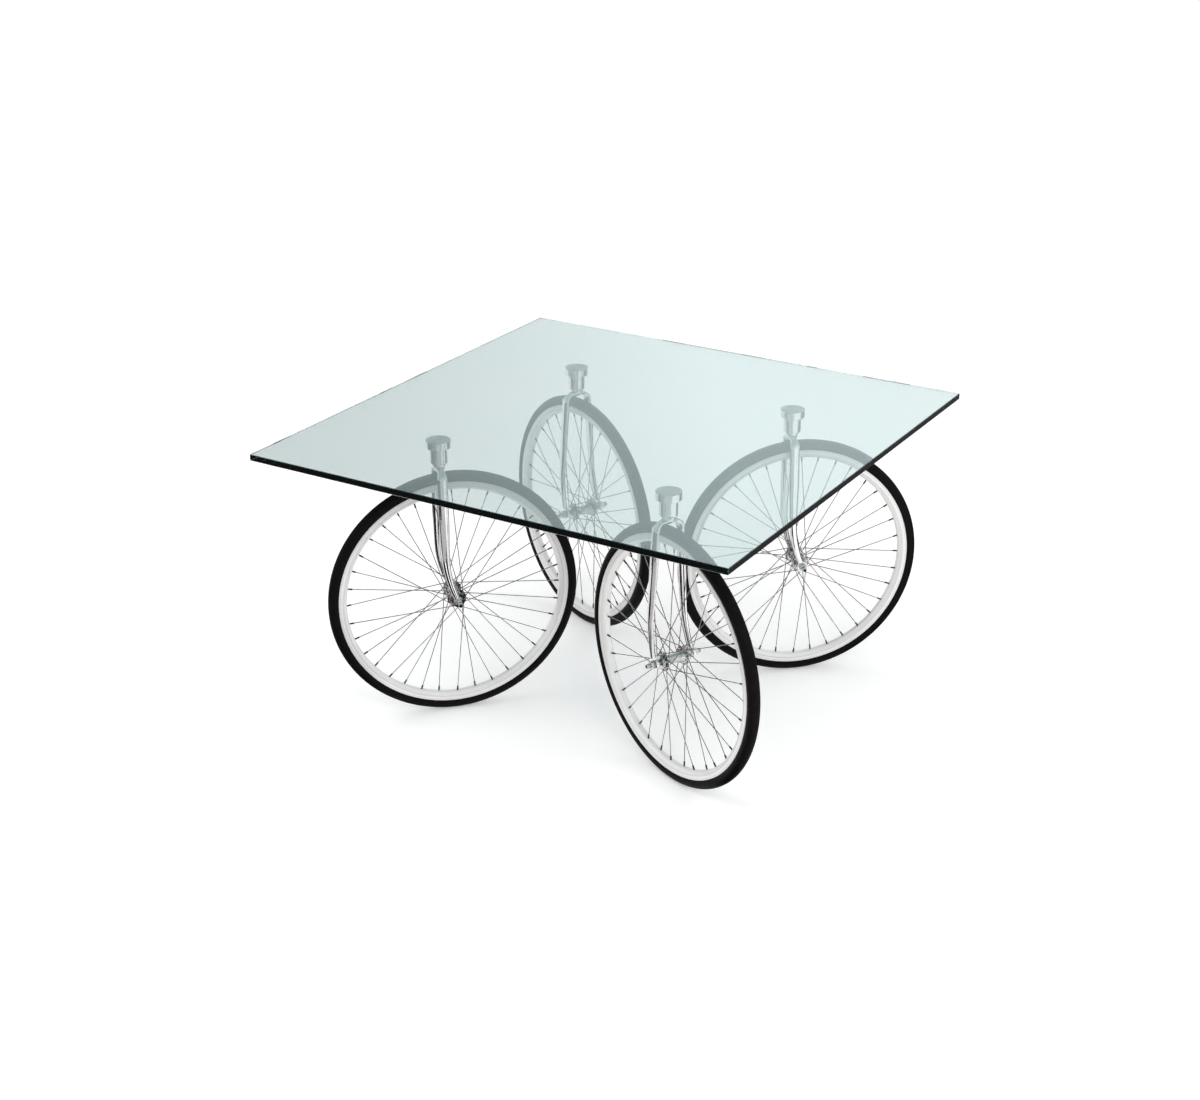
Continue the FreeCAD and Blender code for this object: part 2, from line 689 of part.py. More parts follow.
for word, side, phase in (("Right", 1, 0), ("Left", -1, half_step)):
    drill = new_sketch(rim, f"Rim{word}Hole", "YZ_Plane")
    drill.AttachmentOffset = Placement(Vector(0, 0, 0), Rotation(Vector(1, 0, 0), phase))
    add_circle(drill, f"{side} * Sizes.rim_hole_offset", "0", "Sizes.rim_hole_diameter / 2")
    hole = rim.newObject("PartDesign::Pocket", f"Rim{word}Drill")
    hole.Profile = drill
    hole.Type = "ThroughAll"
    hole.Reversed = True
    doc.recompute()
    ring = rim.newObject("PartDesign::PolarPattern", f"Rim{word}Ring")
    ring.Originals = [hole]
    ring.Axis = (drill, ["H_Axis"])
    ring.Angle = 360
    ring.Occurrences = spokes_per_side
    rim.Tip = ring
    doc.recompute()

# Spokes: one elbowed wire for the outside of a flange and one for its inside
pitch_radius = "(Sizes.spoke_pitch_diameter / 2)"
cross = "(Sizes.spoke_cross_angle * 1 deg)"
wire_run = (
    f"sqrt({pitch_radius} ^ 2 + {nipple_radius} ^ 2 - 2 * {pitch_radius} * {nipple_radius} * cos({cross}))"
)
outer_level = f"({flange_out} + Sizes.spoke_diameter / 2 + Sizes.spoke_rise)"
inner_level = f"({flange_in} - Sizes.spoke_diameter / 2)"


def wire_body(name, level, head_face, outward):
    run = worked(wire_run)
    start = worked(head_face) - outward * size("spoke_head_height")
    top = worked(level)
    reach = Vector(run, size("rim_hole_offset") - top, 0)
    unit = Vector(reach).normalize()
    rise = Vector(0, outward, 0)
    inset = size("spoke_bend") * math.tan(rise.getAngle(unit) / 2)
    corner = Vector(0, top, 0)
    bend_in = corner - rise * inset
    bend_out = corner + unit * inset
    middle = corner + (unit - rise).normalize() * (
        math.hypot(size("spoke_bend"), inset) - size("spoke_bend")
    )
    finish = Vector(run, size("rim_hole_offset"), 0) + unit * size("spoke_stop")
    path = Part.Wire([
        Part.makeLine(Vector(0, start, 0), bend_in),
        Part.Arc(bend_in, middle, bend_out).toShape(),
        Part.makeLine(bend_out, finish),
    ])
    ring = Part.Wire(Part.makeCircle(size("spoke_diameter") / 2, Vector(0, start, 0), rise))
    wire = path.makePipeShell([ring], True, False)
    head = Part.makeCylinder(
        size("spoke_head_diameter") / 2, size("spoke_head_height"), Vector(0, start, 0), rise
    )
    feature = doc.addObject("Part::Feature", name)
    feature.Shape = head.fuse(wire)
    return feature, unit


outer_wire, outer_unit = wire_body("OuterWire", outer_level, flange_in, 1)
inner_wire, inner_unit = wire_body("InnerWire", inner_level, flange_out, -1)

nipple_bore = "Sizes.spoke_diameter / 2 + Sizes.fit_clearance"
head_foot = "(Sizes.rim_bed_thickness / 2 + Sizes.nipple_seat)"
head_top = f"{head_foot} + Sizes.nipple_head_height"
nipple = turned_body("Nipple", "XZ_Plane", [
    (nipple_bore, "-Sizes.nipple_length"),
    ("Sizes.nipple_diameter / 2", "-Sizes.nipple_length"),
    ("Sizes.nipple_diameter / 2", head_foot),
    ("Sizes.nipple_head_diameter / 2", head_foot),
    ("Sizes.nipple_head_diameter / 2", head_top),
    (nipple_bore, head_top),
])


# Places of the wires round one wheel: nine from each face of each flange
def wire_places(lead):
    pitch = worked(pitch_radius)
    rim_hole = worked(nipple_radius)
    crossing = math.radians(size("spoke_cross_angle"))
    aim = math.degrees(math.atan2(rim_hole * math.sin(crossing), rim_hole * math.cos(crossing) - pitch))
    step = 360 / spokes_per_side
    if lead > 0:
        laid = Placement(Vector(pitch, 0, 0), Rotation(Vector(0, 1, 0), -aim))
        phase = 0
    else:
        laid = Placement(Vector(pitch, 0, 0), Rotation(Vector(0, 1, 0), aim))
        phase = step
    flip = Placement(Vector(0, 0, 0), Rotation(Vector(1, 0, 0), 180))
    places = []
    for index in range(spokes_per_side // 2):
        turn = 2 * step * index
        right = Placement(Vector(0, 0, 0), Rotation(Vector(0, 1, 0), -(turn + phase)))
        left = Placement(Vector(0, 0, 0), Rotation(Vector(0, 1, 0), -(turn + half_step)))
        back = Placement(Vector(0, 0, 0), Rotation(Vector(0, 1, 0), -phase))
        places.append(right.multiply(laid))
        places.append(left.multiply(flip).multiply(back).multiply(laid))
    return places


def laid_out(name, master, places):
    row = doc.addObject("App::Link", name)
    row.LinkedObject = master
    row.ShowElement = False
    row.ElementCount = len(places)
    row.PlacementList = places
    return row


def nipple_places(unit, places):
    seat = Placement(
        Vector(worked(wire_run), size("rim_hole_offset"), 0),
        Rotation(Vector(0, 0, 1), unit),
    )
    return [place.multiply(seat) for place in places]


outer_places = wire_places(1)
inner_places = wire_places(-1)
spoke_set = gathered("SpokeSet", [
    laid_out("OuterSpokes", outer_wire, outer_places),
    laid_out("InnerSpokes", inner_wire, inner_places),
])
nipple_set = gathered("NippleSet", [
    laid_out("OuterNipples", nipple, nipple_places(outer_unit, outer_places)),
    laid_out("InnerNipples", nipple, nipple_places(inner_unit, inner_places)),
])

# Tyre: a round section with a foot between the rim walls and fine grooves round the tread
tyre = new_body("Tyre")
tyre_sketch = new_sketch(tyre, "TyreSection", "XY_Plane")
section_radius = "(Sizes.tyre_section / 2)"
section_centre = f"(Sizes.tyre_diameter / 2 - {section_radius})"
shoulder_radius = f"({rim_radius} + Sizes.tyre_seat_gap)"
shoulder_y = f"sqrt({section_radius} ^ 2 - ({section_centre} - {shoulder_radius}) ^ 2)"
foot_radius = f"({rim_radius} - Sizes.rim_wall_height + Sizes.rim_wall + Sizes.joint_gap)"
foot_corners = [
    (shoulder_radius, shoulder_y),
    (shoulder_radius, wall_inside),
    (foot_radius, wall_inside),
    (foot_radius, f"-{wall_inside}"),
    (shoulder_radius, f"-{wall_inside}"),
    (shoulder_radius, f"-{shoulder_y}"),
]
foot_points = [Vector(worked(x), worked(y), 0) for x, y in foot_corners]
for start, finish in zip(foot_points, foot_points[1:]):
    tyre_sketch.addGeometry(Part.LineSegment(start, finish))
centre_point = Vector(worked(section_centre), 0, 0)
sweep = math.atan2(foot_points[0].y, foot_points[0].x - centre_point.x)
whole = Part.Circle(centre_point, Vector(0, 0, 1), worked(section_radius))
arc_index = tyre_sketch.addGeometry(Part.ArcOfCircle(whole, -sweep, sweep))
last_line = len(foot_points) - 2
for index in range(last_line):
    tyre_sketch.addConstraint(Sketcher.Constraint("Coincident", index, 2, index + 1, 1))
tyre_sketch.addConstraint(Sketcher.Constraint("Coincident", last_line, 2, arc_index, 1))
tyre_sketch.addConstraint(Sketcher.Constraint("Coincident", arc_index, 2, 0, 1))
held_points = [(index, 1, *foot_corners[index]) for index in range(1, last_line + 1)]
held_points.append((arc_index, 3, section_centre, "0"))
for index, end, x, y in held_points:
    for kind, text in (("DistanceX", x), ("DistanceY", y)):
        held = tyre_sketch.addConstraint(Sketcher.Constraint(kind, -1, 1, index, end, worked(text)))
        tyre_sketch.setExpression(f"Constraints[{held}]", text)
for index, end in ((0, 1), (last_line, 2)):
    shoulder = Sketcher.Constraint("DistanceX", -1, 1, index, end, worked(shoulder_radius))
    held = tyre_sketch.addConstraint(shoulder)
    tyre_sketch.setExpression(f"Constraints[{held}]", shoulder_radius)
held = tyre_sketch.addConstraint(Sketcher.Constraint("Radius", arc_index, worked(section_radius)))
tyre_sketch.setExpression(f"Constraints[{held}]", section_radius)
tyre_turn = tyre.newObject("PartDesign::Revolution", "TyreTurn")
tyre_turn.Profile = tyre_sketch
tyre_turn.ReferenceAxis = (tyre_sketch, ["V_Axis"])
tyre_turn.Angle = 360
doc.recompute()
tread = new_sketch(tyre, "TreadGrooves", "XY_Plane")
for index in range(tread_grooves_per_side):
    for side in (1, -1):
        middle = f"{side} * Sizes.tread_pitch * {index + 0.5}"
        surface = f"({section_centre} + sqrt({section_radius} ^ 2 - ({middle}) ^ 2))"
        bottom = f"{surface} - Sizes.tread_groove_depth"
        top = f"{surface} + Sizes.tread_groove_depth"
        low = f"{middle} - Sizes.tread_groove_width / 2"
        high = f"{middle} + Sizes.tread_groove_width / 2"
        add_outline(tread, [(bottom, low), (top, low), (top, high), (bottom, high)])
tread_cut = tyre.newObject("PartDesign::Groove", "TreadCut")
tread_cut.Profile = tread
tread_cut.ReferenceAxis = (tread, ["V_Axis"])
tread_cut.Angle = 360
doc.recompute()

# One set of pieces at each corner: swivel pieces on the swivel axis, wheel pieces on the axle
fixed_masters = {"mounting_disc": disc, "swivel_cup": cup}
fork_masters = {
    "swivel_spindle": spindle_set,
    "crown_race": race,
    "fork_crown": crown,
    "fork_blades": blade_pair,
    "fork_ends": end_pair,
}
axle_masters = {"axle": axle, "axle_hardware": hardware_set}
wheel_masters = {"hub": hub, "spokes": spoke_set, "nipples": nipple_set, "rim": rim, "tyre": tyre}
nodes = [glass]
bearings = []
for corner, (across, along) in corner_signs.items():
    x = f"{across} * {swivel_spacing} / 2"
    y = f"{along} * {swivel_spacing} / 2"
    yaw = f"(Sizes.{corner}_turn * 1 deg)"
    facing = f"rotation(vector(0; 0; 1); {yaw})"
    rolled = f"{facing} * rotation(vector(0; 1; 0); Sizes.{corner}_spin)"
    swivel_place = (x, y, "0")
    wheel_place = (f"{x} + Sizes.trail * cos({yaw})", f"{y} + Sizes.trail * sin({yaw})", axle_z)
    for masters, place, rotation in (
        (fixed_masters, swivel_place, facing),
        (fork_masters, swivel_place, facing),
        (axle_masters, wheel_place, facing),
        (wheel_masters, wheel_place, rolled),
    ):
        for word, master in masters.items():
            node = link_to(f"{word}_{corner}", master, place, rotation)
            node.Label = f"{word}_{corner}"
            nodes.append(node)
    bearings.append(link_to(f"bearing_pair_{corner}", bearing_pair, swivel_place))
all_bearings = gathered("AllBearings", bearings)
all_bearings.Label = "swivel_bearings"
nodes.append(all_bearings)
doc.recompute()

# Each object is looked over, then each node goes to its own file
for thing in doc.Objects:
    if "Invalid" in thing.State or "Error" in thing.State:
        raise RuntimeError(f"{thing.Label} did not recompute: {thing.State}")
os.makedirs("parts", exist_ok=True)
for node in nodes:
    shape = Part.getShape(node)
    if shape.isNull() or not shape.isValid() or not shape.Solids:
        raise RuntimeError(f"{node.Label} has no sound shape")
    shape.exportStep(os.path.join("parts", f"{node.Label}.step"))
    print(node.Label, len(shape.Solids), round(sum(solid.Volume for solid in shape.Solids), 1))
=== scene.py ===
import json
import math
import bmesh
import bpy
from mathutils import Matrix, Vector


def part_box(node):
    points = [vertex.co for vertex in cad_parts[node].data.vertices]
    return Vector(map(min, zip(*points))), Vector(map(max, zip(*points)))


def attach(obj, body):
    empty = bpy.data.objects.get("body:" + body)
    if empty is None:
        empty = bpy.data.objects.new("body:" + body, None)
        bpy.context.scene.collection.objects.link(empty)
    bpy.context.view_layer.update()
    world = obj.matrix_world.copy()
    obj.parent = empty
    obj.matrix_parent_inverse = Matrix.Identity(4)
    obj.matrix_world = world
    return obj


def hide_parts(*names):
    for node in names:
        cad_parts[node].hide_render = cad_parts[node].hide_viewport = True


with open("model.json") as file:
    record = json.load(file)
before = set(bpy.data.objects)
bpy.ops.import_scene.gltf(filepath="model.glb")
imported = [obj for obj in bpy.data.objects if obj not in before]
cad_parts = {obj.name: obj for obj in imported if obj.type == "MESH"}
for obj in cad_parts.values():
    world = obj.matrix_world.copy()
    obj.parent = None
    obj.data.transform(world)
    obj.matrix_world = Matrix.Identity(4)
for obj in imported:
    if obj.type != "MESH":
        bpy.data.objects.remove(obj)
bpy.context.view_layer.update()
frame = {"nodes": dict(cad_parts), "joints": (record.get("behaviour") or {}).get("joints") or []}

scene = bpy.context.scene
nodes = frame["nodes"]
joints = {joint["name"]: joint for joint in frame["joints"]}
corners = ("front_left", "front_right", "rear_left", "rear_right")

# where each swivel and wheel stands, read from the joints
places = {}
for corner in corners:
    spin = joints["wheel_spin_" + corner]
    places[corner] = {
        "swivel": Vector(joints["swivel_" + corner]["pos_m"]),
        "wheel": Vector(spin["pos_m"]),
        "yaw": math.atan2(-spin["axis"][0], spin["axis"][1]),
    }
wheelRadius = places["front_left"]["wheel"].z  # all four wheels stand on the floor
print("frame in place:", len(nodes), "nodes")


# small helpers for shader trees
def addNode(tree, kind, **settings):
    node = tree.nodes.new(kind)
    for key, value in settings.items():
        setattr(node, key, value)
    return node


def plug(tree, socket, value):
    if isinstance(value, bpy.types.NodeSocket):
        tree.links.new(value, socket)
    else:
        socket.default_value = value


def mathNode(tree, operation, *values, clamp=False):
    node = addNode(tree, "ShaderNodeMath", operation=operation, use_clamp=clamp)
    for socket, value in zip(node.inputs, values):
        plug(tree, socket, value)
    return node.outputs[0]


def remap(tree, value, low, high, newLow=0.0, newHigh=1.0):
    node = addNode(tree, "ShaderNodeMapRange")
    plug(tree, node.inputs["Value"], value)
    node.inputs["From Min"].default_value = low
    node.inputs["From Max"].default_value = high
    plug(tree, node.inputs["To Min"], newLow)
    plug(tree, node.inputs["To Max"], newHigh)
    return node.outputs["Result"]


def mixColour(tree, amount, first, second):
    node = addNode(tree, "ShaderNodeMix", data_type="RGBA")
    plug(tree, node.inputs["Factor"], amount)
    plug(tree, node.inputs["A"], first)
    plug(tree, node.inputs["B"], second)
    return node.outputs["Result"]


def noiseNode(tree, vector, scale, detail, roughness=0.55):
    node = addNode(tree, "ShaderNodeTexNoise")
    plug(tree, node.inputs["Vector"], vector)
    plug(tree, node.inputs["Scale"], scale)
    node.inputs["Detail"].default_value = detail
    node.inputs["Roughness"].default_value = roughness
    return node.outputs["Fac"]


def stretched(tree, vector, scale):
    node = addNode(tree, "ShaderNodeVectorMath", operation="MULTIPLY")
    plug(tree, node.inputs[0], vector)
    node.inputs[1].default_value = scale
    return node.outputs[0]


def newGroup(name, sockets):
    group = bpy.data.node_groups.new(name, "ShaderNodeTree")
    for label, direction, kind, value in sockets:
        socket = group.interface.new_socket(label, in_out=direction, socket_type=kind)
        if value is not None:
            socket.default_value = value
    return group, addNode(group, "NodeGroupInput"), addNode(group, "NodeGroupOutput")


def useGroup(tree, group, **values):
    node = addNode(tree, "ShaderNodeGroup", node_tree=group)
    for label, value in values.items():
        plug(tree, node.inputs[label], value)
    return node


def distanceFromAxis(tree, first, second):
    squares = [mathNode(tree, "POWER", value, 2.0) for value in (first, second)]
    return mathNode(tree, "SQRT", mathNode(tree, "ADD", *squares))


# hand marks: soft blotches and short fine scratches, for every metal; on the hubs and axles the dark blotches
# are painted reflection of dark surroundings as well as marks
markForm = {
    "blotchRange": (0.35, 0.68),
    "scratchRange": (0.58, 0.76),
    "upright": (1.0, 1.0, 0.06),
    "level": (0.08, 1.0, 1.0),
}
markGroup, given, result = newGroup("blotchesAndScratches", [
    ("Vector", "INPUT", "NodeSocketVector", None),
    ("Blotch", "INPUT", "NodeSocketFloat", 9.0),
    ("Scratch", "INPUT", "NodeSocketFloat", 260.0),
    ("Blotches", "OUTPUT", "NodeSocketFloat", None),
    ("Scratches", "OUTPUT", "NodeSocketFloat", None),
])
where = given.outputs["Vector"]
blotches = noiseNode(markGroup, where, given.outputs["Blotch"], detail=4.0, roughness=0.6)
plug(markGroup, result.inputs["Blotches"], remap(markGroup, blotches, *markForm["blotchRange"]))
lineSets = []
for way in ("upright", "level"):
    drawn = stretched(markGroup, where, markForm[way])
    lineSets.append(noiseNode(markGroup, drawn, given.outputs["Scratch"], detail=2.0))
finest = mathNode(markGroup, "MAXIMUM", *lineSets)
plug(markGroup, result.inputs["Scratches"], remap(markGroup, finest, *markForm["scratchRange"]))

# turned lines: the rings a lathe tool leaves, about the local Z axis
turnForm = {"bandShare": 0.22}
turnGroup, given, result = newGroup("turnedLines", [
    ("Vector", "INPUT", "NodeSocketVector", None),
    ("Fineness", "INPUT", "NodeSocketFloat", 900.0),
    ("Lines", "OUTPUT", "NodeSocketFloat", None),
    ("Bands", "OUTPUT", "NodeSocketFloat", None),
])
split = addNode(turnGroup, "ShaderNodeSeparateXYZ")
plug(turnGroup, split.inputs[0], given.outputs["Vector"])
ringPlace = addNode(turnGroup, "ShaderNodeCombineXYZ")
plug(turnGroup, ringPlace.inputs["X"], distanceFromAxis(turnGroup, split.outputs["X"], split.outputs["Y"]))
plug(turnGroup, ringPlace.inputs["Y"], split.outputs["Z"])
fine = given.outputs["Fineness"]
coarse = mathNode(turnGroup, "MULTIPLY", fine, turnForm["bandShare"])
toolLines = noiseNode(turnGroup, ringPlace.outputs[0], fine, detail=3.0, roughness=0.7)
toolBands = noiseNode(turnGroup, ringPlace.outputs[0], coarse, detail=2.0)
plug(turnGroup, result.inputs["Lines"], toolLines)
plug(turnGroup, result.inputs["Bands"], toolBands)

# wheel place: the polar place on a wheel whose axle is the local Y axis
ringGroup, given, result = newGroup("wheelPlace", [
    ("Vector", "INPUT", "NodeSocketVector", None),
    ("Radius", "OUTPUT", "NodeSocketFloat", None),
    ("Angle", "OUTPUT", "NodeSocketFloat", None),
    ("Across", "OUTPUT", "NodeSocketFloat", None),
])
split = addNode(ringGroup, "ShaderNodeSeparateXYZ")
plug(ringGroup, split.inputs[0], given.outputs["Vector"])
radius = distanceFromAxis(ringGroup, split.outputs["X"], split.outputs["Z"])
angle = mathNode(ringGroup, "ARCTAN2", split.outputs["Z"], split.outputs["X"])
plug(ringGroup, result.inputs["Radius"], radius)
plug(ringGroup, result.inputs["Angle"], angle)
plug(ringGroup, result.inputs["Across"], split.outputs["Y"])
print("shader groups ready")


def unrolled(tree, wheel):
    node = addNode(tree, "ShaderNodeCombineXYZ")
    plug(tree, node.inputs["X"], wheel.outputs["Radius"])
    plug(tree, node.inputs["Y"], wheel.outputs["Across"])
    return node.outputs[0]


def newMaterial(name):
    material = bpy.data.materials.new(name)
    material.use_nodes = True
    tree = material.node_tree
    tree.nodes.clear()
    output = addNode(tree, "ShaderNodeOutputMaterial")
    shader = addNode(tree, "ShaderNodeBsdfPrincipled")
    tree.links.new(shader.outputs["BSDF"], output.inputs["Surface"])
    return material, tree, shader


def localSpace(tree, centre=(0, 0, 0), yaw=0.0):
    coords = addNode(tree, "ShaderNodeTexCoord")
    mapping = addNode(tree, "ShaderNodeMapping", vector_type="TEXTURE")
    mapping.inputs["Location"].default_value = centre
    mapping.inputs["Rotation"].default_value = (0, 0, yaw)
    tree.links.new(coords.outputs["Object"], mapping.inputs["Vector"])
    return mapping.outputs["Vector"]


def addBump(tree, shader, height, strength, distance):
    bump = addNode(tree, "ShaderNodeBump")
    bump.inputs["Strength"].default_value = strength
    bump.inputs["Distance"].default_value = distance
    plug(tree, bump.inputs["Height"], height)
    tree.links.new(bump.outputs["Normal"], shader.inputs["Normal"])


def wearColour(tree, shader, marks, look):
    blotches, scratches = marks.outputs["Blotches"], marks.outputs["Scratches"]
    blotched = mixColour(tree, blotches, look["colour"], look["dull"])
    scratchShare = mathNode(tree, "MULTIPLY", scratches, look["scratchShare"])
    worn = mixColour(tree, scratchShare, blotched, look["scratch"])
    plug(tree, shader.inputs["Base Color"], worn)
    rough = remap(tree, blotches, 0.0, 1.0, look["smooth"], look["rough"])
    lifted = mathNode(tree, "MULTIPLY_ADD", scratches, look["scratchLift"], rough)
    plug(tree, shader.inputs["Roughness"], lifted)
    return worn


# clear float glass, faintly green, with wiped haze
glassLook = {
    "tint": (0.70, 0.785, 0.775, 1.0),
    "index": 1.64,
    "shine": 1.0,
    "shineTint": (0.48, 0.95, 1.0, 1.0),
    "coat": 1.0,
    "depthTint": (0.30, 0.60, 0.58, 1.0),
    "depth": 6.0,
    "ground": (0.62, 0.56, 0.53, 1.0),
    "groundRough": 0.3,
    "groundLean": (0.7, 0.2),  # how far the arris faces lean, and the margin
    "hazeStretch": (1.0, 0.25, 1.0),
    "hazeScale": 14.0,
    "hazeRange": (0.45, 0.8),
    "hazeMost": 0.02,
    "bond": 0.0003,
    "arris": 0.0012,
}


def makeGlass():
    material, tree, shader = newMaterial("clearGlass")
    shader.inputs["Transmission Weight"].default_value = 1.0
    shader.inputs["IOR"].default_value = glassLook["index"]
    shader.inputs["Specular IOR Level"].default_value = glassLook["shine"]
    shader.inputs["Specular Tint"].default_value = glassLook["shineTint"]
    shader.inputs["Coat Weight"].default_value = glassLook["coat"]
    # the narrow ground arris faces lean half way between flat and upright
    facing = addNode(tree, "ShaderNodeSeparateXYZ")
    tree.links.new(addNode(tree, "ShaderNodeNewGeometry").outputs["True Normal"], facing.inputs[0])
    leaning = mathNode(tree, "ABSOLUTE", facing.outputs["Z"])
    onArris = mathNode(tree, "COMPARE", leaning, *glassLook["groundLean"])
    plug(tree, shader.inputs["Base Color"], mixColour(tree, onArris, glassLook["tint"], glassLook["ground"]))
    streaks = stretched(tree, localSpace(tree), glassLook["hazeStretch"])
    wiped = noiseNode(tree, streaks, glassLook["hazeScale"], detail=4.0)
    haze = remap(tree, wiped, *glassLook["hazeRange"], 0.0, glassLook["hazeMost"])
    ground = mathNode(tree, "MULTIPLY", onArris, glassLook["groundRough"])
    plug(tree, shader.inputs["Roughness"], mathNode(tree, "MAXIMUM", haze, ground))
    depth = addNode(tree, "ShaderNodeVolumeAbsorption")
    depth.inputs["Color"].default_value = glassLook["depthTint"]
    depth.inputs["Density"].default_value = glassLook["depth"]
    output = next(node for node in tree.nodes if node.type == "OUTPUT_MATERIAL")
    tree.links.new(depth.outputs[0], output.inputs["Volume"])
    return material


# spun satin metal of the mounting discs
discLook = {
    "colour": (0.93, 0.93, 0.92, 1.0),
    "dull": (0.82, 0.82, 0.81, 1.0),
    "smooth": 0.17,
    "rough": 0.24,
    "fineness": 2600.0,
    "lineRange": (0.3, 0.7),
    "spun": 0.9,
    "spunTurn": 0.25,  # the gloss spreads across the turned lines
    "bump": (0.15, 0.00005),
}


def makeSpunDisc(corner):
    material, tree, shader = newMaterial("spunDisc." + corner)
    vector = localSpace(tree, places[corner]["swivel"])
    rings = useGroup(tree, turnGroup, Vector=vector, Fineness=discLook["fineness"])
    shader.inputs["Metallic"].default_value = 1.0
    shader.inputs["Anisotropic"].default_value = discLook["spun"]
    shader.inputs["Anisotropic Rotation"].default_value = discLook["spunTurn"]
    tangent = addNode(tree, "ShaderNodeTangent", direction_type="RADIAL", axis="Z")
    tree.links.new(tangent.outputs[0], shader.inputs["Tangent"])
    banded = mixColour(tree, rings.outputs["Bands"], discLook["colour"], discLook["dull"])
    plug(tree, shader.inputs["Base Color"], banded)
    lined = remap(tree, rings.outputs["Lines"], *discLook["lineRange"], discLook["smooth"], discLook["rough"])
    plug(tree, shader.inputs["Roughness"], lined)
    addBump(tree, shader, rings.outputs["Lines"], *discLook["bump"])
    return material


# polished chrome of the forks, and the satin cups, hubs, axles and plain steel after it
chromeLook = {
    "colour": (0.84, 0.84, 0.845, 1.0),
    "dull": (0.79, 0.785, 0.79, 1.0),
    "scratch": (0.66, 0.66, 0.67, 1.0),
    "scratchShare": 0.25,
    "scratchLift": 0.12,
    "smooth": 0.015,
    "rough": 0.045,
    "blotch": 22.0,
    "fineness": 420.0,
    "bump": (0.02, 0.00002),
}
cupLook = dict(
    chromeLook,
    colour=(0.86, 0.86, 0.86, 1.0),
    dull=(0.80, 0.80, 0.80, 1.0),
    smooth=0.12,
    rough=0.17,
)
# the hub's dark blotch tone is painted reflection of dark surroundings, mixed with wear
hubWearAndPaintedReflectionLook = dict(
    chromeLook,
    colour=(0.72, 0.72, 0.73, 1.0),
    dull=(0.42, 0.41, 0.40, 1.0),
    smooth=0.02,
    rough=0.07,
    blotch=70.0,
)
# the axles keep the hub's painted dark reflection blotches and get a painted black disc of shade at each end
axleLook = dict(hubWearAndPaintedReflectionLook, paintedBoreShade=(0.008, 0.008, 0.009, 1.0), endPlace=0.0724, endRadius=0.0036)
steelLook = dict(
    chromeLook,
    colour=(0.58, 0.57, 0.56, 1.0),
    dull=(0.46, 0.45, 0.44, 1.0),
    smooth=0.18,
    rough=0.3,
)

# drawn steel wire, and nipples in a brass tone darkened with painted shade
wireLook = dict(
    chromeLook,
    colour=(0.40, 0.355, 0.35, 1.0),
    dull=(0.16, 0.135, 0.135, 1.0),
    scratch=(0.55, 0.52, 0.51, 1.0),
    scratchShare=0.3,
    smooth=0.18,
    rough=0.32,
)
# the nipples' dark brown is a brass tone with painted shade
nippleBrassAndShadeLook = dict(
    wireLook,
    colour=(0.12, 0.078, 0.062, 1.0),
    dull=(0.045, 0.030, 0.026, 1.0),
    scratch=(0.30, 0.21, 0.15, 1.0),
)


def makeMetal(name, look, centre=(0, 0, 0), yaw=0.0):
    material, tree, shader = newMaterial(name)
    vector = localSpace(tree, centre, yaw)
    marks = useGroup(tree, markGroup, Vector=vector, Blotch=look["blotch"], Scratch=look["fineness"])
    shader.inputs["Metallic"].default_value = 1.0
    worn = wearColour(tree, shader, marks, look)
    addBump(tree, shader, marks.outputs["Scratches"], *look["bump"])
    if "paintedBoreShade" in look:  # painted shade: a black disc on the axle's end face, for the shadow inside its drilled centre
        wheel = useGroup(tree, ringGroup, Vector=vector)
        fromMiddle = mathNode(tree, "ABSOLUTE", wheel.outputs["Across"])
        atEnd = mathNode(tree, "GREATER_THAN", fromMiddle, look["endPlace"])
        inCentre = mathNode(tree, "LESS_THAN", wheel.outputs["Radius"], look["endRadius"])
        boreShadeMask = mathNode(tree, "MULTIPLY", atEnd, inCentre)
        plug(tree, shader.inputs["Base Color"], mixColour(tree, boreShadeMask, worn, look["paintedBoreShade"]))
    return material


# bright rolled alloy of the rims, with a milled track on each wall
rimLook = {
    "colour": (0.90, 0.885, 0.87, 1.0),
    "dull": (0.86, 0.845, 0.835, 1.0),
    "scratch": (0.80, 0.785, 0.775, 1.0),
    "scratchShare": 0.2,
    "scratchLift": 0.12,
    "metal": 0.3,
    "smooth": 0.28,
    "rough": 0.36,
    "blotch": 16.0,
    "fineness": 300.0,
    "trackLow": 0.2645,
    "trackHigh": 0.2742,
    "trackFade": 0.0006,
    "trackCount": 560.0,
    # grey of the milled strokes and rolled lines, also used for the painted shade of the wall steps
    "trackLinesAndStepShade": (0.50, 0.485, 0.48, 1.0),
    "strokeRange": (-0.2, 0.9),
    "strokeShare": (0.04, 0.22),
    "rolledScale": 420.0,
    "rolledRange": (0.52, 0.75),
    "rolledShare": 0.3,
    # rings of painted shade along the steps in the rim wall and where it meets the tyre
    "rings": (0.2744, 0.2716, 0.2650, 0.2634),
    "stepShadeHalf": 0.00035,
    "bump": (0.04, 0.0001),
}


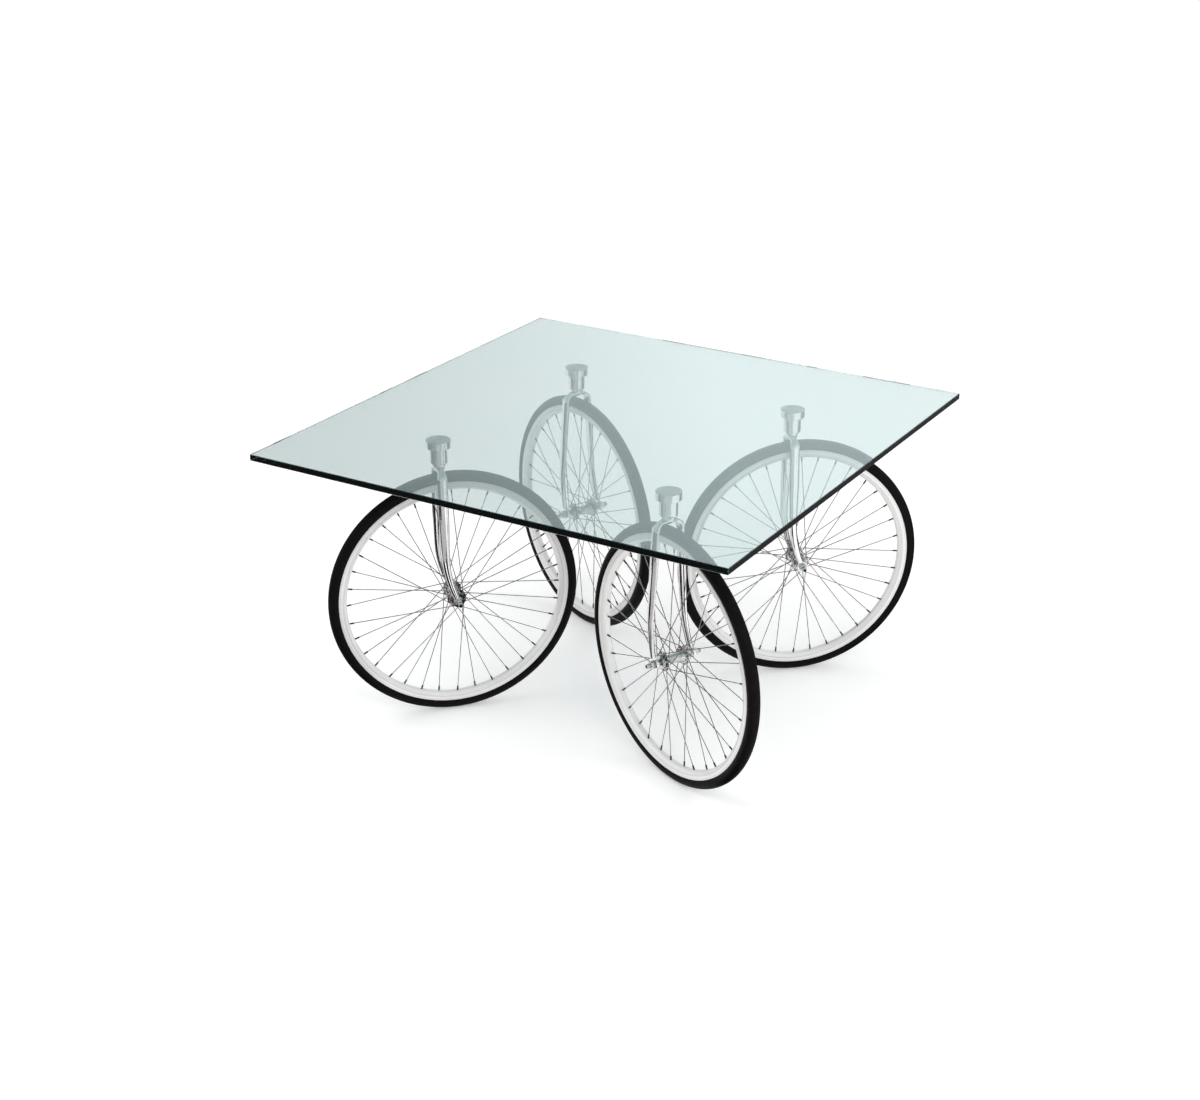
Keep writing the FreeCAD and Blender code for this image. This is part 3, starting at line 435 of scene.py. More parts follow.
def makeRim(corner):
    material, tree, shader = newMaterial("rolledAlloy." + corner)
    place = places[corner]
    vector = localSpace(tree, place["wheel"], place["yaw"])
    wheel = useGroup(tree, ringGroup, Vector=vector)
    radius = wheel.outputs["Radius"]
    marks = useGroup(tree, markGroup, Vector=vector, Blotch=rimLook["blotch"], Scratch=rimLook["fineness"])
    shader.inputs["Metallic"].default_value = rimLook["metal"]
    worn = wearColour(tree, shader, marks, rimLook)
    # fine milled strokes round the braking track, and rolled lines along the walls
    wave = mathNode(tree, "SINE", mathNode(tree, "MULTIPLY", wheel.outputs["Angle"], rimLook["trackCount"]))
    stroke = remap(tree, wave, *rimLook["strokeRange"], *rimLook["strokeShare"])
    low, high, fade = rimLook["trackLow"], rimLook["trackHigh"], rimLook["trackFade"]
    above = remap(tree, radius, low, low + fade)
    below = remap(tree, radius, high - fade, high, 1.0, 0.0)
    inTrack = mathNode(tree, "MULTIPLY", above, below)
    strokes = mathNode(tree, "MULTIPLY", inTrack, stroke)
    rolled = noiseNode(tree, unrolled(tree, wheel), rimLook["rolledScale"], detail=1.0)
    rolledLines = remap(tree, rolled, *rimLook["rolledRange"], 0.0, rimLook["rolledShare"])
    shaded = mathNode(tree, "MAXIMUM", strokes, rolledLines)
    # painted shade: thin grey rings where the rim wall steps
    for ring in rimLook["rings"]:
        onStepShade = mathNode(tree, "COMPARE", radius, ring, rimLook["stepShadeHalf"])
        shaded = mathNode(tree, "MAXIMUM", shaded, onStepShade)
    plug(tree, shader.inputs["Base Color"], mixColour(tree, shaded, worn, rimLook["trackLinesAndStepShade"]))
    addBump(tree, shader, mathNode(tree, "SUBTRACT", rolled, shaded), *rimLook["bump"])
    return material


# black rubber with a little dust on the tread
rubberLook = {
    "colour": (0.0040, 0.0032, 0.0036, 1.0),
    "worn": (0.0095, 0.0078, 0.0083, 1.0),
    "shine": 0.06,
    "smooth": 0.42,
    "rough": 0.56,
    "roughRange": (0.3, 0.7),
    "patchScale": 34.0,
    "dustRange": (0.38, 0.7),
    "dustLeast": 0.15,
    "wallDust": 0.35,
    "treadEdge": 0.292,
    "grainScale": 1400.0,
    "mouldScale": 700.0,
    "bump": (0.12, 0.0002),
}


def makeRubber(corner):
    material, tree, shader = newMaterial("tyreRubber." + corner)
    place = places[corner]
    vector = localSpace(tree, place["wheel"], place["yaw"])
    wheel = useGroup(tree, ringGroup, Vector=vector)
    patches = noiseNode(tree, vector, rubberLook["patchScale"], detail=5.0, roughness=0.62)
    dust = remap(tree, patches, *rubberLook["dustRange"], rubberLook["dustLeast"])
    radius, edge = wheel.outputs["Radius"], rubberLook["treadEdge"]
    onTread = remap(tree, radius, edge, wheelRadius, rubberLook["wallDust"])
    dusty = mathNode(tree, "MULTIPLY", dust, onTread)
    plug(tree, shader.inputs["Base Color"], mixColour(tree, dusty, rubberLook["colour"], rubberLook["worn"]))
    scuffed = remap(tree, patches, *rubberLook["roughRange"], rubberLook["smooth"], rubberLook["rough"])
    plug(tree, shader.inputs["Roughness"], scuffed)
    shader.inputs["Specular IOR Level"].default_value = rubberLook["shine"]
    grain = noiseNode(tree, vector, rubberLook["grainScale"], detail=2.0)
    moulded = noiseNode(tree, unrolled(tree, wheel), rubberLook["mouldScale"], detail=1.0)
    addBump(tree, shader, mathNode(tree, "ADD", grain, moulded), *rubberLook["bump"])
    return material


glass = makeGlass()
bearingSteel = makeMetal("bearingSteel", steelLook)
finishes = {}
for corner in corners:
    place = places[corner]
    finishes[corner] = {
        "disc": makeSpunDisc(corner),
        "chrome": makeMetal("polishedChrome." + corner, chromeLook, place["swivel"], place["yaw"]),
        "cup": makeMetal("satinChrome." + corner, cupLook, place["swivel"], place["yaw"]),
        "hub": makeMetal("hubChrome." + corner, hubWearAndPaintedReflectionLook, place["wheel"], place["yaw"]),
        "axle": makeMetal("brightAxle." + corner, axleLook, place["wheel"], place["yaw"]),
        "wire": makeMetal("drawnWire." + corner, wireLook, place["wheel"], place["yaw"]),
        "nipple": makeMetal("brassNippleAndPaintedShade." + corner, nippleBrassAndShadeLook, place["wheel"], place["yaw"]),
        "rim": makeRim(corner),
        "rubber": makeRubber(corner),
    }
print("materials ready")

# which finish each node wears
nodeFinish = {
    "mounting_disc": "disc",
    "swivel_cup": "cup",
    "crown_race": "chrome",
    "fork_crown": "chrome",
    "fork_blades": "chrome",
    "fork_ends": "chrome",
    "axle_hardware": "hub",
    "hub": "hub",
    "axle": "axle",
    "spokes": "wire",
    "nipples": "nipple",
    "rim": "rim",
    "tyre": "rubber",
}


def dress(obj, material):
    obj.data.materials.clear()
    obj.data.materials.append(material)


dress(nodes["swivel_bearings"], bearingSteel)
for corner in corners:
    dress(nodes["swivel_spindle_" + corner], bearingSteel)
    for word, finish in nodeFinish.items():
        dress(nodes[word + "_" + corner], finishes[corner][finish])
print("nodes dressed")


# glass sheet with ground arrises, the disc tops bedded in the clear bond under it
low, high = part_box("glass_top")
slab = bmesh.new()
bmesh.ops.create_cube(slab, size=1.0)
for vert in slab.verts:
    vert.co.x = low.x if vert.co.x < 0 else high.x
    vert.co.y = low.y if vert.co.y < 0 else high.y
    vert.co.z = low.z - glassLook["bond"] if vert.co.z < 0 else high.z
bmesh.ops.bevel(slab, geom=slab.edges[:], offset=glassLook["arris"], segments=1, affect="EDGES")
bmesh.ops.recalc_face_normals(slab, faces=slab.faces[:])
sheetMesh = bpy.data.meshes.new("glass_sheet")
slab.to_mesh(sheetMesh)
slab.free()
sheet = bpy.data.objects.new("glass_sheet", sheetMesh)
scene.collection.objects.link(sheet)
dress(sheet, glass)
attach(sheet, "table_top")
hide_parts("glass_top")
print("glass laid")

# fork crown: one smooth arch drawn in at the waist of each arm, over its round neck
# heights are measured from the top of the solid crown
crownForm = {
    "path": (
        (0.0, -0.0064), (0.010, -0.0071), (0.0182, -0.0098),
        (0.0256, -0.0150), (0.0304, -0.0198), (0.0319, -0.0238),
    ),
    "depth": (0.0130, 0.0112, 0.0086, 0.0090, 0.0112, 0.0126),
    "thick": (0.0062, 0.0062, 0.0062, 0.0066, 0.0074, 0.0080),
    "endLean": 0.066,
    "between": 6,
    "around": 44,
    "squareness": 2.5,
    "neck": ((0.0146, -0.0068), (0.0137, -0.0048), (0.0134, -0.0028), (0.0134, -0.0006), (0.0128, 0.0)),
}


def blendAt(values, place):
    # smooth curve through evenly counted values
    last = len(values) - 1
    index = min(int(place), last - 1)
    share = place - index
    before, first, second, after = (values[min(max(index + k, 0), last)] for k in (-1, 0, 1, 2))
    straight = second - before
    bend = 2 * before - 5 * first + 4 * second - after
    twist = 3 * first - before - 3 * second + after
    return 0.5 * (2 * first + straight * share + bend * share ** 2 + twist * share ** 3)


def closeRings(mesh, rings):
    for lower, upper in zip(rings, rings[1:]):
        for k in range(len(lower)):
            after = (k + 1) % len(lower)
            mesh.faces.new((lower[k], lower[after], upper[after], upper[k]))
    mesh.faces.new(list(reversed(rings[0])))
    mesh.faces.new(rings[-1])


def roundPower(value):
    return math.copysign(abs(value) ** (2 / crownForm["squareness"]), value)


def crownMesh(name):
    mesh = bmesh.new()
    turns = [2 * math.pi * step / crownForm["around"] for step in range(crownForm["around"])]
    count = (len(crownForm["path"]) - 1) * crownForm["between"]
    stations = []
    for k in range(-count, count + 1):
        place = abs(k) / crownForm["between"]
        side = -1 if k < 0 else 1
        across = side * blendAt([spot[0] for spot in crownForm["path"]], place)
        height = blendAt([spot[1] for spot in crownForm["path"]], place)
        depth = blendAt(crownForm["depth"], place)
        thick = blendAt(crownForm["thick"], place)
        stations.append((across, height, depth, thick))
    rings = []
    for k, (across, height, depth, thick) in enumerate(stations):
        before, after = stations[max(k - 1, 0)], stations[min(k + 1, len(stations) - 1)]
        run = Vector((after[0] - before[0], after[1] - before[1])).normalized()
        if k in (0, len(stations) - 1):
            run = Vector((crownForm["endLean"], 1.0 if k == 0 else -1.0)).normalized()
        ring = []
        for turn in turns:
            sideways = depth * roundPower(math.cos(turn))
            upward = thick * roundPower(math.sin(turn))
            ring.append(mesh.verts.new((sideways, across - run.y * upward, height + run.x * upward)))
        rings.append(ring)
    closeRings(mesh, rings)
    neckRings = []
    for radius, height in crownForm["neck"]:
        spots = [(radius * math.cos(turn), radius * math.sin(turn), height) for turn in turns]
        neckRings.append([mesh.verts.new(spot) for spot in spots])
    closeRings(mesh, neckRings)
    bmesh.ops.recalc_face_normals(mesh, faces=mesh.faces[:])
    for face in mesh.faces:
        face.smooth = len(face.verts) == 4
    data = bpy.data.meshes.new(name)
    mesh.to_mesh(data)
    mesh.free()
    return data


for corner in corners:
    place = places[corner]
    name = "crown_arch_" + corner
    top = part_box("fork_crown_" + corner)[1].z
    crownData = crownMesh(name)
    crownData.transform(Matrix.Rotation(place["yaw"], 4, "Z"))
    crownData.transform(Matrix.Translation((place["swivel"].x, place["swivel"].y, top)))
    crown = bpy.data.objects.new(name, crownData)
    scene.collection.objects.link(crown)
    dress(crown, finishes[corner]["chrome"])
    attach(crown, "fork_" + corner)
    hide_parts("fork_crown_" + corner)
print("crowns formed")


# geometry node helpers
def newTree(name, sockets):
    tree = bpy.data.node_groups.new(name, "GeometryNodeTree")
    tree.interface.new_socket("Geometry", in_out="OUTPUT", socket_type="NodeSocketGeometry")
    for label, kind, value in sockets:
        socket = tree.interface.new_socket(label, in_out="INPUT", socket_type=kind)
        if value is not None:
            socket.default_value = value
    return tree, addNode(tree, "NodeGroupInput"), addNode(tree, "NodeGroupOutput")


def grow(name, tree, values):
    maker = bpy.data.objects.new(name + ".maker", bpy.data.meshes.new(name + ".maker"))
    scene.collection.objects.link(maker)
    modifier = maker.modifiers.new("grow", "NODES")
    modifier.node_group = tree
    labels = {item.name: item.identifier for item in tree.interface.items_tree if item.in_out == "INPUT"}
    for label, value in values.items():
        modifier[labels[label]] = value
    evaluated = maker.evaluated_get(bpy.context.evaluated_depsgraph_get())
    mesh = bpy.data.meshes.new_from_object(evaluated)
    maker.modifiers.clear()
    bpy.data.objects.remove(maker)
    mesh.name = name
    obj = bpy.data.objects.new(name, mesh)
    scene.collection.objects.link(obj)
    return obj


def setOnWheel(tree, given, result, geometry):
    turned = addNode(tree, "GeometryNodeTransform")
    tree.links.new(geometry, turned.inputs["Geometry"])
    tree.links.new(given.outputs["Centre"], turned.inputs["Translation"])
    tree.links.new(given.outputs["Turn"], turned.inputs["Rotation"])
    realized = addNode(tree, "GeometryNodeRealizeInstances")
    tree.links.new(turned.outputs[0], realized.inputs[0])
    smooth = addNode(tree, "GeometryNodeSetShadeSmooth")
    tree.links.new(realized.outputs[0], smooth.inputs["Geometry"])
    painted = addNode(tree, "GeometryNodeSetMaterial")
    tree.links.new(smooth.outputs[0], painted.inputs["Geometry"])
    tree.links.new(given.outputs["Material"], painted.inputs["Material"])
    tree.links.new(painted.outputs[0], result.inputs["Geometry"])


wheelSockets = [
    ("Centre", "NodeSocketVector", None),
    ("Turn", "NodeSocketVector", None),
    ("Material", "NodeSocketMaterial", None),
]

# pressed eyelets round the nipples, in two staggered rows on the rim floor
eyelet = {
    "count": 36,
    "floor": 0.2549,
    "rowOffset": 0.002,
    "ring": 0.0026,
    "bead": 0.0005,
    "ringSteps": 12,
    "beadSteps": 6,
}
eyeletTree, given, result = newTree("rimEyelets", wheelSockets + [
    ("Count", "NodeSocketInt", eyelet["count"]),
    ("Floor", "NodeSocketFloat", eyelet["floor"]),
    ("Row Offset", "NodeSocketFloat", eyelet["rowOffset"]),
    ("Ring", "NodeSocketFloat", eyelet["ring"]),
    ("Bead", "NodeSocketFloat", eyelet["bead"]),
])
index = addNode(eyeletTree, "GeometryNodeInputIndex").outputs[0]
step = mathNode(eyeletTree, "DIVIDE", 2 * math.pi, given.outputs["Count"])
eyeletAngle = mathNode(eyeletTree, "MULTIPLY", index, step)
oddSpot = mathNode(eyeletTree, "MODULO", index, 2.0)
rowSide = mathNode(eyeletTree, "MULTIPLY_ADD", oddSpot, -2.0, 1.0)  # one side and the other in turn
outward = addNode(eyeletTree, "ShaderNodeCombineXYZ")
plug(eyeletTree, outward.inputs["X"], mathNode(eyeletTree, "COSINE", eyeletAngle))
plug(eyeletTree, outward.inputs["Z"], mathNode(eyeletTree, "SINE", eyeletAngle))
onFloor = addNode(eyeletTree, "ShaderNodeVectorMath", operation="SCALE")
plug(eyeletTree, onFloor.inputs[0], outward.outputs[0])
plug(eyeletTree, onFloor.inputs["Scale"], given.outputs["Floor"])
aside = addNode(eyeletTree, "ShaderNodeCombineXYZ")
plug(eyeletTree, aside.inputs["Y"], mathNode(eyeletTree, "MULTIPLY", rowSide, given.outputs["Row Offset"]))
spot = addNode(eyeletTree, "ShaderNodeVectorMath", operation="ADD")
plug(eyeletTree, spot.inputs[0], onFloor.outputs[0])
plug(eyeletTree, spot.inputs[1], aside.outputs[0])
spots = addNode(eyeletTree, "GeometryNodePoints")
plug(eyeletTree, spots.inputs["Count"], given.outputs["Count"])
plug(eyeletTree, spots.inputs["Position"], spot.outputs[0])
ringLine = addNode(eyeletTree, "GeometryNodeCurvePrimitiveCircle")
ringLine.inputs["Resolution"].default_value = eyelet["ringSteps"]
plug(eyeletTree, ringLine.inputs["Radius"], given.outputs["Ring"])
beadLine = addNode(eyeletTree, "GeometryNodeCurvePrimitiveCircle")
beadLine.inputs["Resolution"].default_value = eyelet["beadSteps"]
plug(eyeletTree, beadLine.inputs["Radius"], given.outputs["Bead"])
bead = addNode(eyeletTree, "GeometryNodeCurveToMesh")
plug(eyeletTree, bead.inputs["Curve"], ringLine.outputs["Curve"])
plug(eyeletTree, bead.inputs["Profile Curve"], beadLine.outputs["Curve"])
upright = addNode(eyeletTree, "FunctionNodeAlignRotationToVector", axis="Z")
plug(eyeletTree, upright.inputs["Vector"], outward.outputs[0])
laid = addNode(eyeletTree, "GeometryNodeInstanceOnPoints")
plug(eyeletTree, laid.inputs["Points"], spots.outputs[0])
plug(eyeletTree, laid.inputs["Instance"], bead.outputs[0])
plug(eyeletTree, laid.inputs["Rotation"], upright.outputs[0])
setOnWheel(eyeletTree, given, result, laid.outputs[0])

# rolled thread on the bare end of each axle
thread = {
    "start": 0.0645,
    "length": 0.0078,
    "radius": 0.005,
    "pitch": 0.001,
    "depth": 0.00045,
    "turnSteps": 20,
    "crestSteps": 4,
}
threadTree, given, result = newTree("axleThread", wheelSockets + [
    ("Start", "NodeSocketFloat", thread["start"]),
    ("Length", "NodeSocketFloat", thread["length"]),
    ("Radius", "NodeSocketFloat", thread["radius"]),
    ("Pitch", "NodeSocketFloat", thread["pitch"]),
    ("Depth", "NodeSocketFloat", thread["depth"]),
])
coil = addNode(threadTree, "GeometryNodeCurveSpiral")
coil.inputs["Resolution"].default_value = thread["turnSteps"]
threadTurns = mathNode(threadTree, "DIVIDE", given.outputs["Length"], given.outputs["Pitch"])
plug(threadTree, coil.inputs["Rotations"], threadTurns)
plug(threadTree, coil.inputs["Start Radius"], given.outputs["Radius"])
plug(threadTree, coil.inputs["End Radius"], given.outputs["Radius"])
plug(threadTree, coil.inputs["Height"], given.outputs["Length"])
crest = addNode(threadTree, "GeometryNodeCurvePrimitiveCircle")
crest.inputs["Resolution"].default_value = thread["crestSteps"]
plug(threadTree, crest.inputs["Radius"], given.outputs["Depth"])
ridge = addNode(threadTree, "GeometryNodeCurveToMesh")
plug(threadTree, ridge.inputs["Curve"], coil.outputs["Curve"])
plug(threadTree, ridge.inputs["Profile Curve"], crest.outputs["Curve"])
ridge.inputs["Fill Caps"].default_value = True
bothEnds = addNode(threadTree, "GeometryNodeJoinGeometry")
for side in (1, -1):
    reach = addNode(threadTree, "ShaderNodeCombineXYZ")
    plug(threadTree, reach.inputs["Y"], mathNode(threadTree, "MULTIPLY", given.outputs["Start"], float(side)))
    endTurn = addNode(threadTree, "GeometryNodeTransform")
    plug(threadTree, endTurn.inputs["Geometry"], ridge.outputs[0])
    plug(threadTree, endTurn.inputs["Translation"], reach.outputs[0])
    endTurn.inputs["Rotation"].default_value = (-side * math.pi / 2, 0, 0)
    threadTree.links.new(endTurn.outputs[0], bothEnds.inputs[0])
setOnWheel(threadTree, given, result, bothEnds.outputs[0])

# tyre casing: a round section swept about the axle, with fine grooves round the tread
casing = {
    "wheelRadius": wheelRadius,
    "section": 0.014,
    "segments": 200,
    "profile": 132,
    "crowding": 1.6,
    "groovePitch": 0.0024,
    "grooveDepth": 0.0007,
    "grooveShape": (-1.6, -0.45),  # slope and offset of the wave that cuts them
    "treadHalf": 0.0132,
    "rimEdge": 0.2753,
    "seatHalf": 0.0095,
    "weld": 0.00001,
}
casingTree, given, result = newTree("tyreCasing", wheelSockets + [
    ("Wheel Radius", "NodeSocketFloat", casing["wheelRadius"]),
    ("Section", "NodeSocketFloat", casing["section"]),
    ("Segments", "NodeSocketInt", casing["segments"]),
    ("Profile", "NodeSocketInt", casing["profile"]),
    ("Groove Pitch", "NodeSocketFloat", casing["groovePitch"]),
    ("Groove Depth", "NodeSocketFloat", casing["grooveDepth"]),
    ("Tread Half", "NodeSocketFloat", casing["treadHalf"]),
    ("Rim Edge", "NodeSocketFloat", casing["rimEdge"]),
    ("Seat Half", "NodeSocketFloat", casing["seatHalf"]),
])


def casingMath(operation, *values, clamp=False):
    return mathNode(casingTree, operation, *values, clamp=clamp)


grid = addNode(casingTree, "GeometryNodeMeshGrid")
grid.inputs["Size X"].default_value = 1.0
grid.inputs["Size Y"].default_value = 1.0
plug(casingTree, grid.inputs["Vertices X"], given.outputs["Segments"])
plug(casingTree, grid.inputs["Vertices Y"], given.outputs["Profile"])
gridPlace = addNode(casingTree, "ShaderNodeSeparateXYZ")
plug(casingTree, gridPlace.inputs[0], addNode(casingTree, "GeometryNodeInputPosition").outputs[0])
aroundAngle = casingMath("MULTIPLY", gridPlace.outputs["X"], 2 * math.pi)
fromMiddle = casingMath("MULTIPLY", casingMath("ABSOLUTE", gridPlace.outputs["Y"]), 2.0)
crowded = casingMath("POWER", fromMiddle, casing["crowding"])  # closer points under the tread
halfTurn = casingMath("MULTIPLY", crowded, math.pi)
sectionAngle = casingMath("MULTIPLY", halfTurn, casingMath("SIGN", gridPlace.outputs["Y"]))
section = given.outputs["Section"]
alongTread = casingMath("MULTIPLY", sectionAngle, section)
grooveTurn = casingMath("MULTIPLY", alongTread, 2 * math.pi)
wave = casingMath("COSINE", casingMath("DIVIDE", grooveTurn, given.outputs["Groove Pitch"]))
cutShare = casingMath("MULTIPLY_ADD", wave, *casing["grooveShape"], clamp=True)
insideTread = casingMath("LESS_THAN", casingMath("ABSOLUTE", alongTread), given.outputs["Tread Half"])
cut = casingMath("MULTIPLY", casingMath("MULTIPLY", cutShare, insideTread), given.outputs["Groove Depth"])
reachOut = casingMath("SUBTRACT", section, cut)
middle = casingMath("SUBTRACT", given.outputs["Wheel Radius"], section)
rise = casingMath("MULTIPLY", reachOut, casingMath("COSINE", sectionAngle))
ringRadius = casingMath("ADD", middle, rise)
sideways = casingMath("MULTIPLY", reachOut, casingMath("SINE", sectionAngle))
seatHalf = given.outputs["Seat Half"]
otherHalf = casingMath("MULTIPLY", seatHalf, -1.0)
held = casingMath("MAXIMUM", casingMath("MINIMUM", sideways, seatHalf), otherHalf)
inSeat = casingMath("LESS_THAN", ringRadius, given.outputs["Rim Edge"])
outOfSeat = casingMath("SUBTRACT", 1.0, inSeat)
heldPart = casingMath("MULTIPLY", held, inSeat)
freePart = casingMath("MULTIPLY", sideways, outOfSeat)
forward = casingMath("MULTIPLY", ringRadius, casingMath("COSINE", aroundAngle))
upward = casingMath("MULTIPLY", ringRadius, casingMath("SINE", aroundAngle))
casingPlace = addNode(casingTree, "ShaderNodeCombineXYZ")
plug(casingTree, casingPlace.inputs["X"], forward)
plug(casingTree, casingPlace.inputs["Y"], casingMath("ADD", heldPart, freePart))
plug(casingTree, casingPlace.inputs["Z"], upward)
formed = addNode(casingTree, "GeometryNodeSetPosition")
plug(casingTree, formed.inputs["Geometry"], grid.outputs["Mesh"])
plug(casingTree, formed.inputs["Position"], casingPlace.outputs[0])
closed = addNode(casingTree, "GeometryNodeMergeByDistance")
plug(casingTree, closed.inputs["Geometry"], formed.outputs[0])
closed.inputs["Distance"].default_value = casing["weld"]
setOnWheel(casingTree, given, result, closed.outputs[0])

for corner in corners:
    place = places[corner]
    seat = {"Centre": place["wheel"], "Turn": (0, 0, place["yaw"])}
    finish = finishes[corner]
    eyelets = grow("rim_eyelets_" + corner, eyeletTree, dict(seat, Material=finish["rim"]))
    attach(eyelets, "wheel_" + corner)
    threads = grow("axle_thread_" + corner, threadTree, dict(seat, Material=finish["axle"]))
    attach(threads, "fork_" + corner)
    tyre = grow("tyre_casing_" + corner, casingTree, dict(seat, Material=finish["rubber"]))
    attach(tyre, "wheel_" + corner)
    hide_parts("tyre_" + corner)
    faceCounts = [len(piece.data.polygons) for piece in (eyelets, threads, tyre)]
    print(corner, "faces of eyelets, thread and tyre:", *faceCounts)

# pale floor, kept white where the studio light is even
floorLook = {"half": 60.0, "colour": (0.90, 0.90, 0.90, 1.0), "rough": 0.9, "lift": 0.24}
white = (1.0, 1.0, 1.0, 1.0)


def seenShare(tree, rays):
    direct = mathNode(tree, "MAXIMUM", rays.outputs["Is Camera Ray"], rays.outputs["Is Glossy Ray"])
    return mathNode(tree, "MAXIMUM", direct, rays.outputs["Is Transmission Ray"])


half = floorLook["half"]
floorMesh = bpy.data.meshes.new("floor")
floorCorners = [(-half, -half, 0), (half, -half, 0), (half, half, 0), (-half, half, 0)]
floorMesh.from_pydata(floorCorners, [], [(0, 1, 2, 3)])
floor = bpy.data.objects.new("floor", floorMesh)
scene.collection.objects.link(floor)
floorPaint, tree, shader = newMaterial("paleFloor")
shader.inputs["Base Color"].default_value = floorLook["colour"]
shader.inputs["Roughness"].default_value = floorLook["rough"]
shader.inputs["Specular IOR Level"].default_value = 0.0
shader.inputs["Emission Color"].default_value = white
seen = seenShare(tree, addNode(tree, "ShaderNodeLightPath"))
plug(tree, shader.inputs["Emission Strength"], mathNode(tree, "MULTIPLY", seen, floorLook["lift"]))
dress(floor, floorPaint)

# dark and grey flags lying round the object, seen only in the polished metal and the glass edges
flagForm = {
    "steps": 12,
    "height": 0.001,
    "near": (0.60, 1.35),
    "middle": (1.35, 1.93),
    "far": (1.93, 7.0),
    "wide": (1.35, 7.0),
}
flags = {
    "frontNear": {"start": 222, "width": 50, "band": "near", "shade": (0.012, 0.010, 0.011, 1.0)},
    "cameraNear": {"start": 292, "width": 34, "band": "near", "shade": (0.012, 0.010, 0.011, 1.0)},
    "rightNear": {"start": 34, "width": 46, "band": "near", "shade": (0.020, 0.018, 0.018, 1.0)},
    "frontMiddle": {"start": 200, "width": 44, "band": "middle", "shade": (0.05, 0.047, 0.047, 1.0)},
    "cameraMiddle": {"start": 244, "width": 80, "band": "middle", "shade": (0.45, 0.435, 0.43, 1.0)},
    "frontFar": {"start": 200, "width": 79, "band": "far", "shade": (0.05, 0.047, 0.047, 1.0)},
    "cameraFar": {"start": 279, "width": 46, "band": "far", "shade": (0.50, 0.48, 0.48, 1.0)},
    "rightFar": {"start": 24, "width": 56, "band": "wide", "shade": (0.10, 0.095, 0.095, 1.0)},
}
for name, card in flags.items():
    flagPaint, tree, shader = newMaterial(name)
    shader.inputs["Base Color"].default_value = card["shade"]
    shader.inputs["Roughness"].default_value = 1.0
    shader.inputs["Specular IOR Level"].default_value = 0.0
    steps = flagForm["steps"]
    points = []
    for flagStep in range(steps + 1):
        turn = math.radians(card["start"] + card["width"] * flagStep / steps)
        for away in flagForm[card["band"]]:
            points.append((away * math.cos(turn), away * math.sin(turn), flagForm["height"]))
    faces = [(2 * i, 2 * i + 1, 2 * i + 3, 2 * i + 2) for i in range(steps)]
    flagMesh = bpy.data.meshes.new(name)
    flagMesh.from_pydata(points, [], faces)
    flag = bpy.data.objects.new(name, flagMesh)
    scene.collection.objects.link(flag)
    dress(flag, flagPaint)
    flag.visible_camera = False
    flag.visible_diffuse = False
    flag.visible_transmission = False
    flag.visible_shadow = False
print("floor and flags laid")

# even studio sky: white to the eye, softer as a light
# metal and glass also show a dim card high behind the camera, one at the back left and a dim ceiling
skyLook = {
    "seen": 1.0,
    "light": 0.85,
    "cardSide": (285.0, 50.0),
    "cardEdge": (0.78, 0.92),
    "cardDark": 0.6,
    "dimSide": (150.0, 24.0),
    "dimEdge": (0.86, 0.956),
    "dimDark": 0.55,
    "ceilingEdge": (0.66, 0.88),
    "ceilingDark": 0.55,
    "mirrorTint": (0.90, 0.985, 1.0, 1.0),
}
sky = bpy.data.worlds.new("studioSky")
scene.world = sky
sky.use_nodes = True
tree = sky.node_tree
tree.nodes.clear()
output = addNode(tree, "ShaderNodeOutputWorld")
glow = addNode(tree, "ShaderNodeBackground")
tree.links.new(glow.outputs[0], output.inputs["Surface"])
rays = addNode(tree, "ShaderNodeLightPath")
tinted = mixColour(tree, rays.outputs["Is Glossy Ray"], white, skyLook["mirrorTint"])
plug(tree, glow.inputs["Color"], tinted)
seen = seenShare(tree, rays)
direction = addNode(tree, "ShaderNodeTexCoord").outputs["Generated"]
height = addNode(tree, "ShaderNodeSeparateXYZ")
tree.links.new(direction, height.inputs[0])


def towards(side):
    turn, lift = (math.radians(angle) for angle in side)
    level = math.cos(lift)
    along = addNode(tree, "ShaderNodeVectorMath", operation="DOT_PRODUCT")
    tree.links.new(direction, along.inputs[0])
    along.inputs[1].default_value = (math.cos(turn) * level, math.sin(turn) * level, math.sin(lift))
    return along.outputs["Value"]


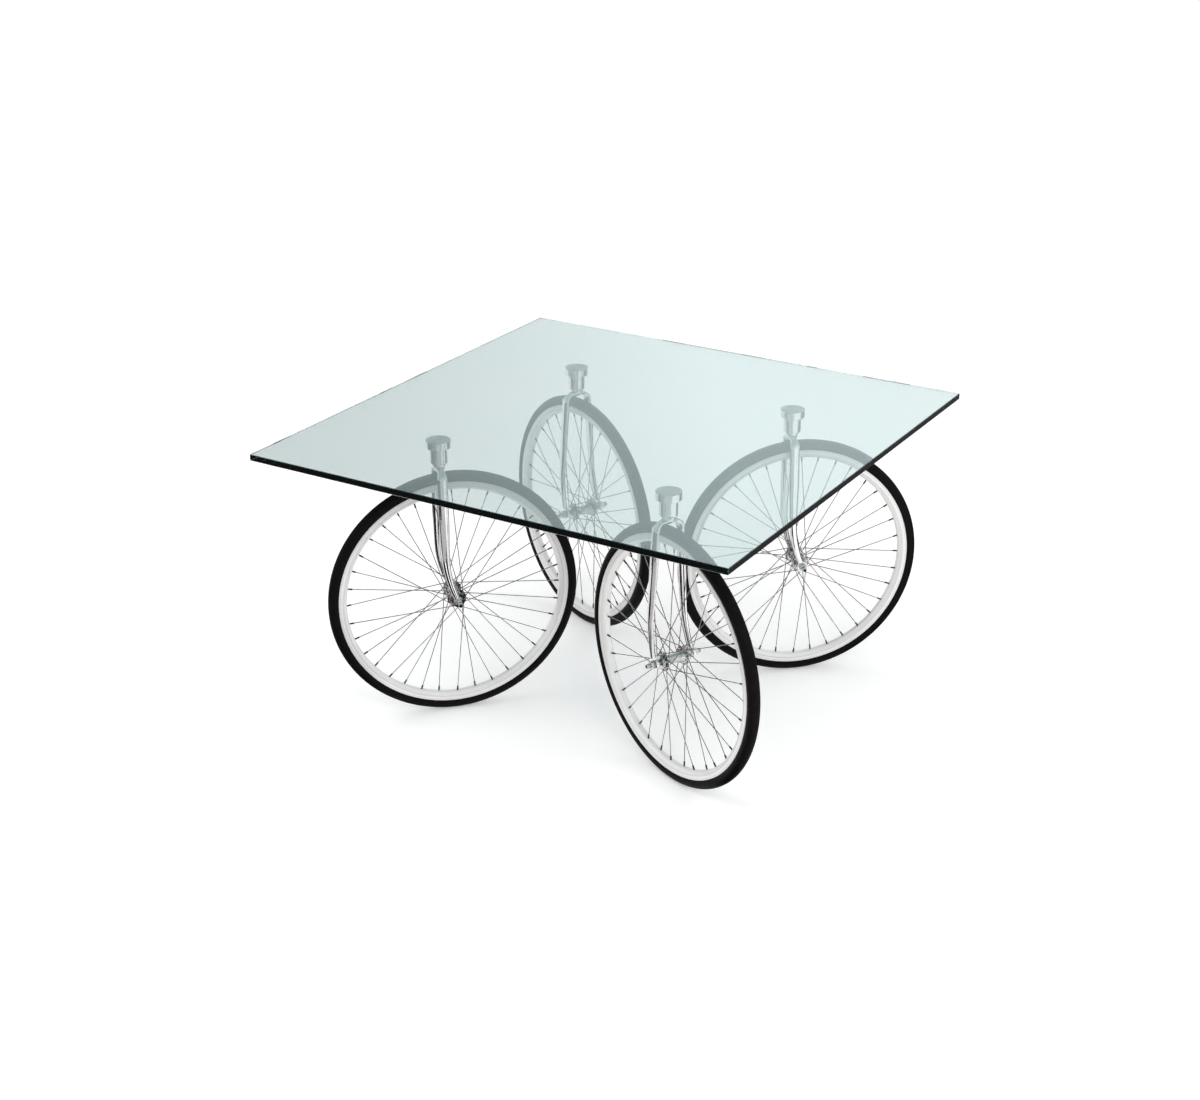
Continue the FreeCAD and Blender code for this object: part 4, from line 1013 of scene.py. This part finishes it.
highCard = remap(tree, towards(skyLook["cardSide"]), *skyLook["cardEdge"], 0.0, skyLook["cardDark"])
leftDim = remap(tree, towards(skyLook["dimSide"]), *skyLook["dimEdge"], 0.0, skyLook["dimDark"])
ceiling = remap(tree, height.outputs["Z"], *skyLook["ceilingEdge"], 0.0, skyLook["ceilingDark"])
dark = mathNode(tree, "MAXIMUM", mathNode(tree, "MAXIMUM", highCard, leftDim), ceiling)
mirrored = mathNode(tree, "SUBTRACT", 1.0, rays.outputs["Is Camera Ray"])
held = mathNode(tree, "MULTIPLY", dark, mathNode(tree, "MULTIPLY", mirrored, seen))
strength = remap(tree, seen, 0.0, 1.0, skyLook["light"], skyLook["seen"])
plug(tree, glow.inputs["Strength"], mathNode(tree, "SUBTRACT", strength, held))

# three soft boxes
lamps = {
    "keyBox": {"place": (-2.4, -2.2, 3.6), "aim": (0, 0, 0.4), "size": 1.8, "power": 40.0},
    "backBox": {"place": (2.6, 2.8, 3.0), "aim": (0, 0, 0.4), "size": 1.4, "power": 22.0},
    "sideBox": {"place": (2.9, -2.3, 2.2), "aim": (0, 0, 0.3), "size": 2.0, "power": 50.0},
}
for name, lamp in lamps.items():
    light = bpy.data.lights.new(name, "AREA")
    light.shape = "SQUARE"
    light.size = lamp["size"]
    light.energy = lamp["power"]
    box = bpy.data.objects.new(name, light)
    scene.collection.objects.link(box)
    box.location = lamp["place"]
    box.rotation_mode = "QUATERNION"
    box.rotation_quaternion = (Vector(lamp["aim"]) - Vector(lamp["place"])).to_track_quat("-Z", "Y")
    box.visible_glossy = False  # no bare white patch in the glass
    box.visible_transmission = False

# camera at the photograph's viewing angle
view = {
    "azimuth": 31.0,
    "elevation": 23.74,
    "distance": 4.845,
    "target": (-0.0726, 0.0355, 0.3375),
    "lens": 60.11,
    "sensor": 36.0,
}
turn = math.radians(view["azimuth"])
tilt = math.radians(view["elevation"])
back = Vector((math.sin(turn) * math.cos(tilt), -math.cos(turn) * math.cos(tilt), math.sin(tilt)))
cameraData = bpy.data.cameras.new("camera")
cameraData.lens = view["lens"]
cameraData.sensor_width = view["sensor"]
cameraData.sensor_fit = "HORIZONTAL"
camera = bpy.data.objects.new("camera", cameraData)
scene.collection.objects.link(camera)
camera.location = Vector(view["target"]) + back * view["distance"]
camera.rotation_mode = "QUATERNION"
camera.rotation_quaternion = (-back).to_track_quat("-Z", "Y")
scene.camera = camera
scene.view_settings.view_transform = "Standard"
print("light and camera set")
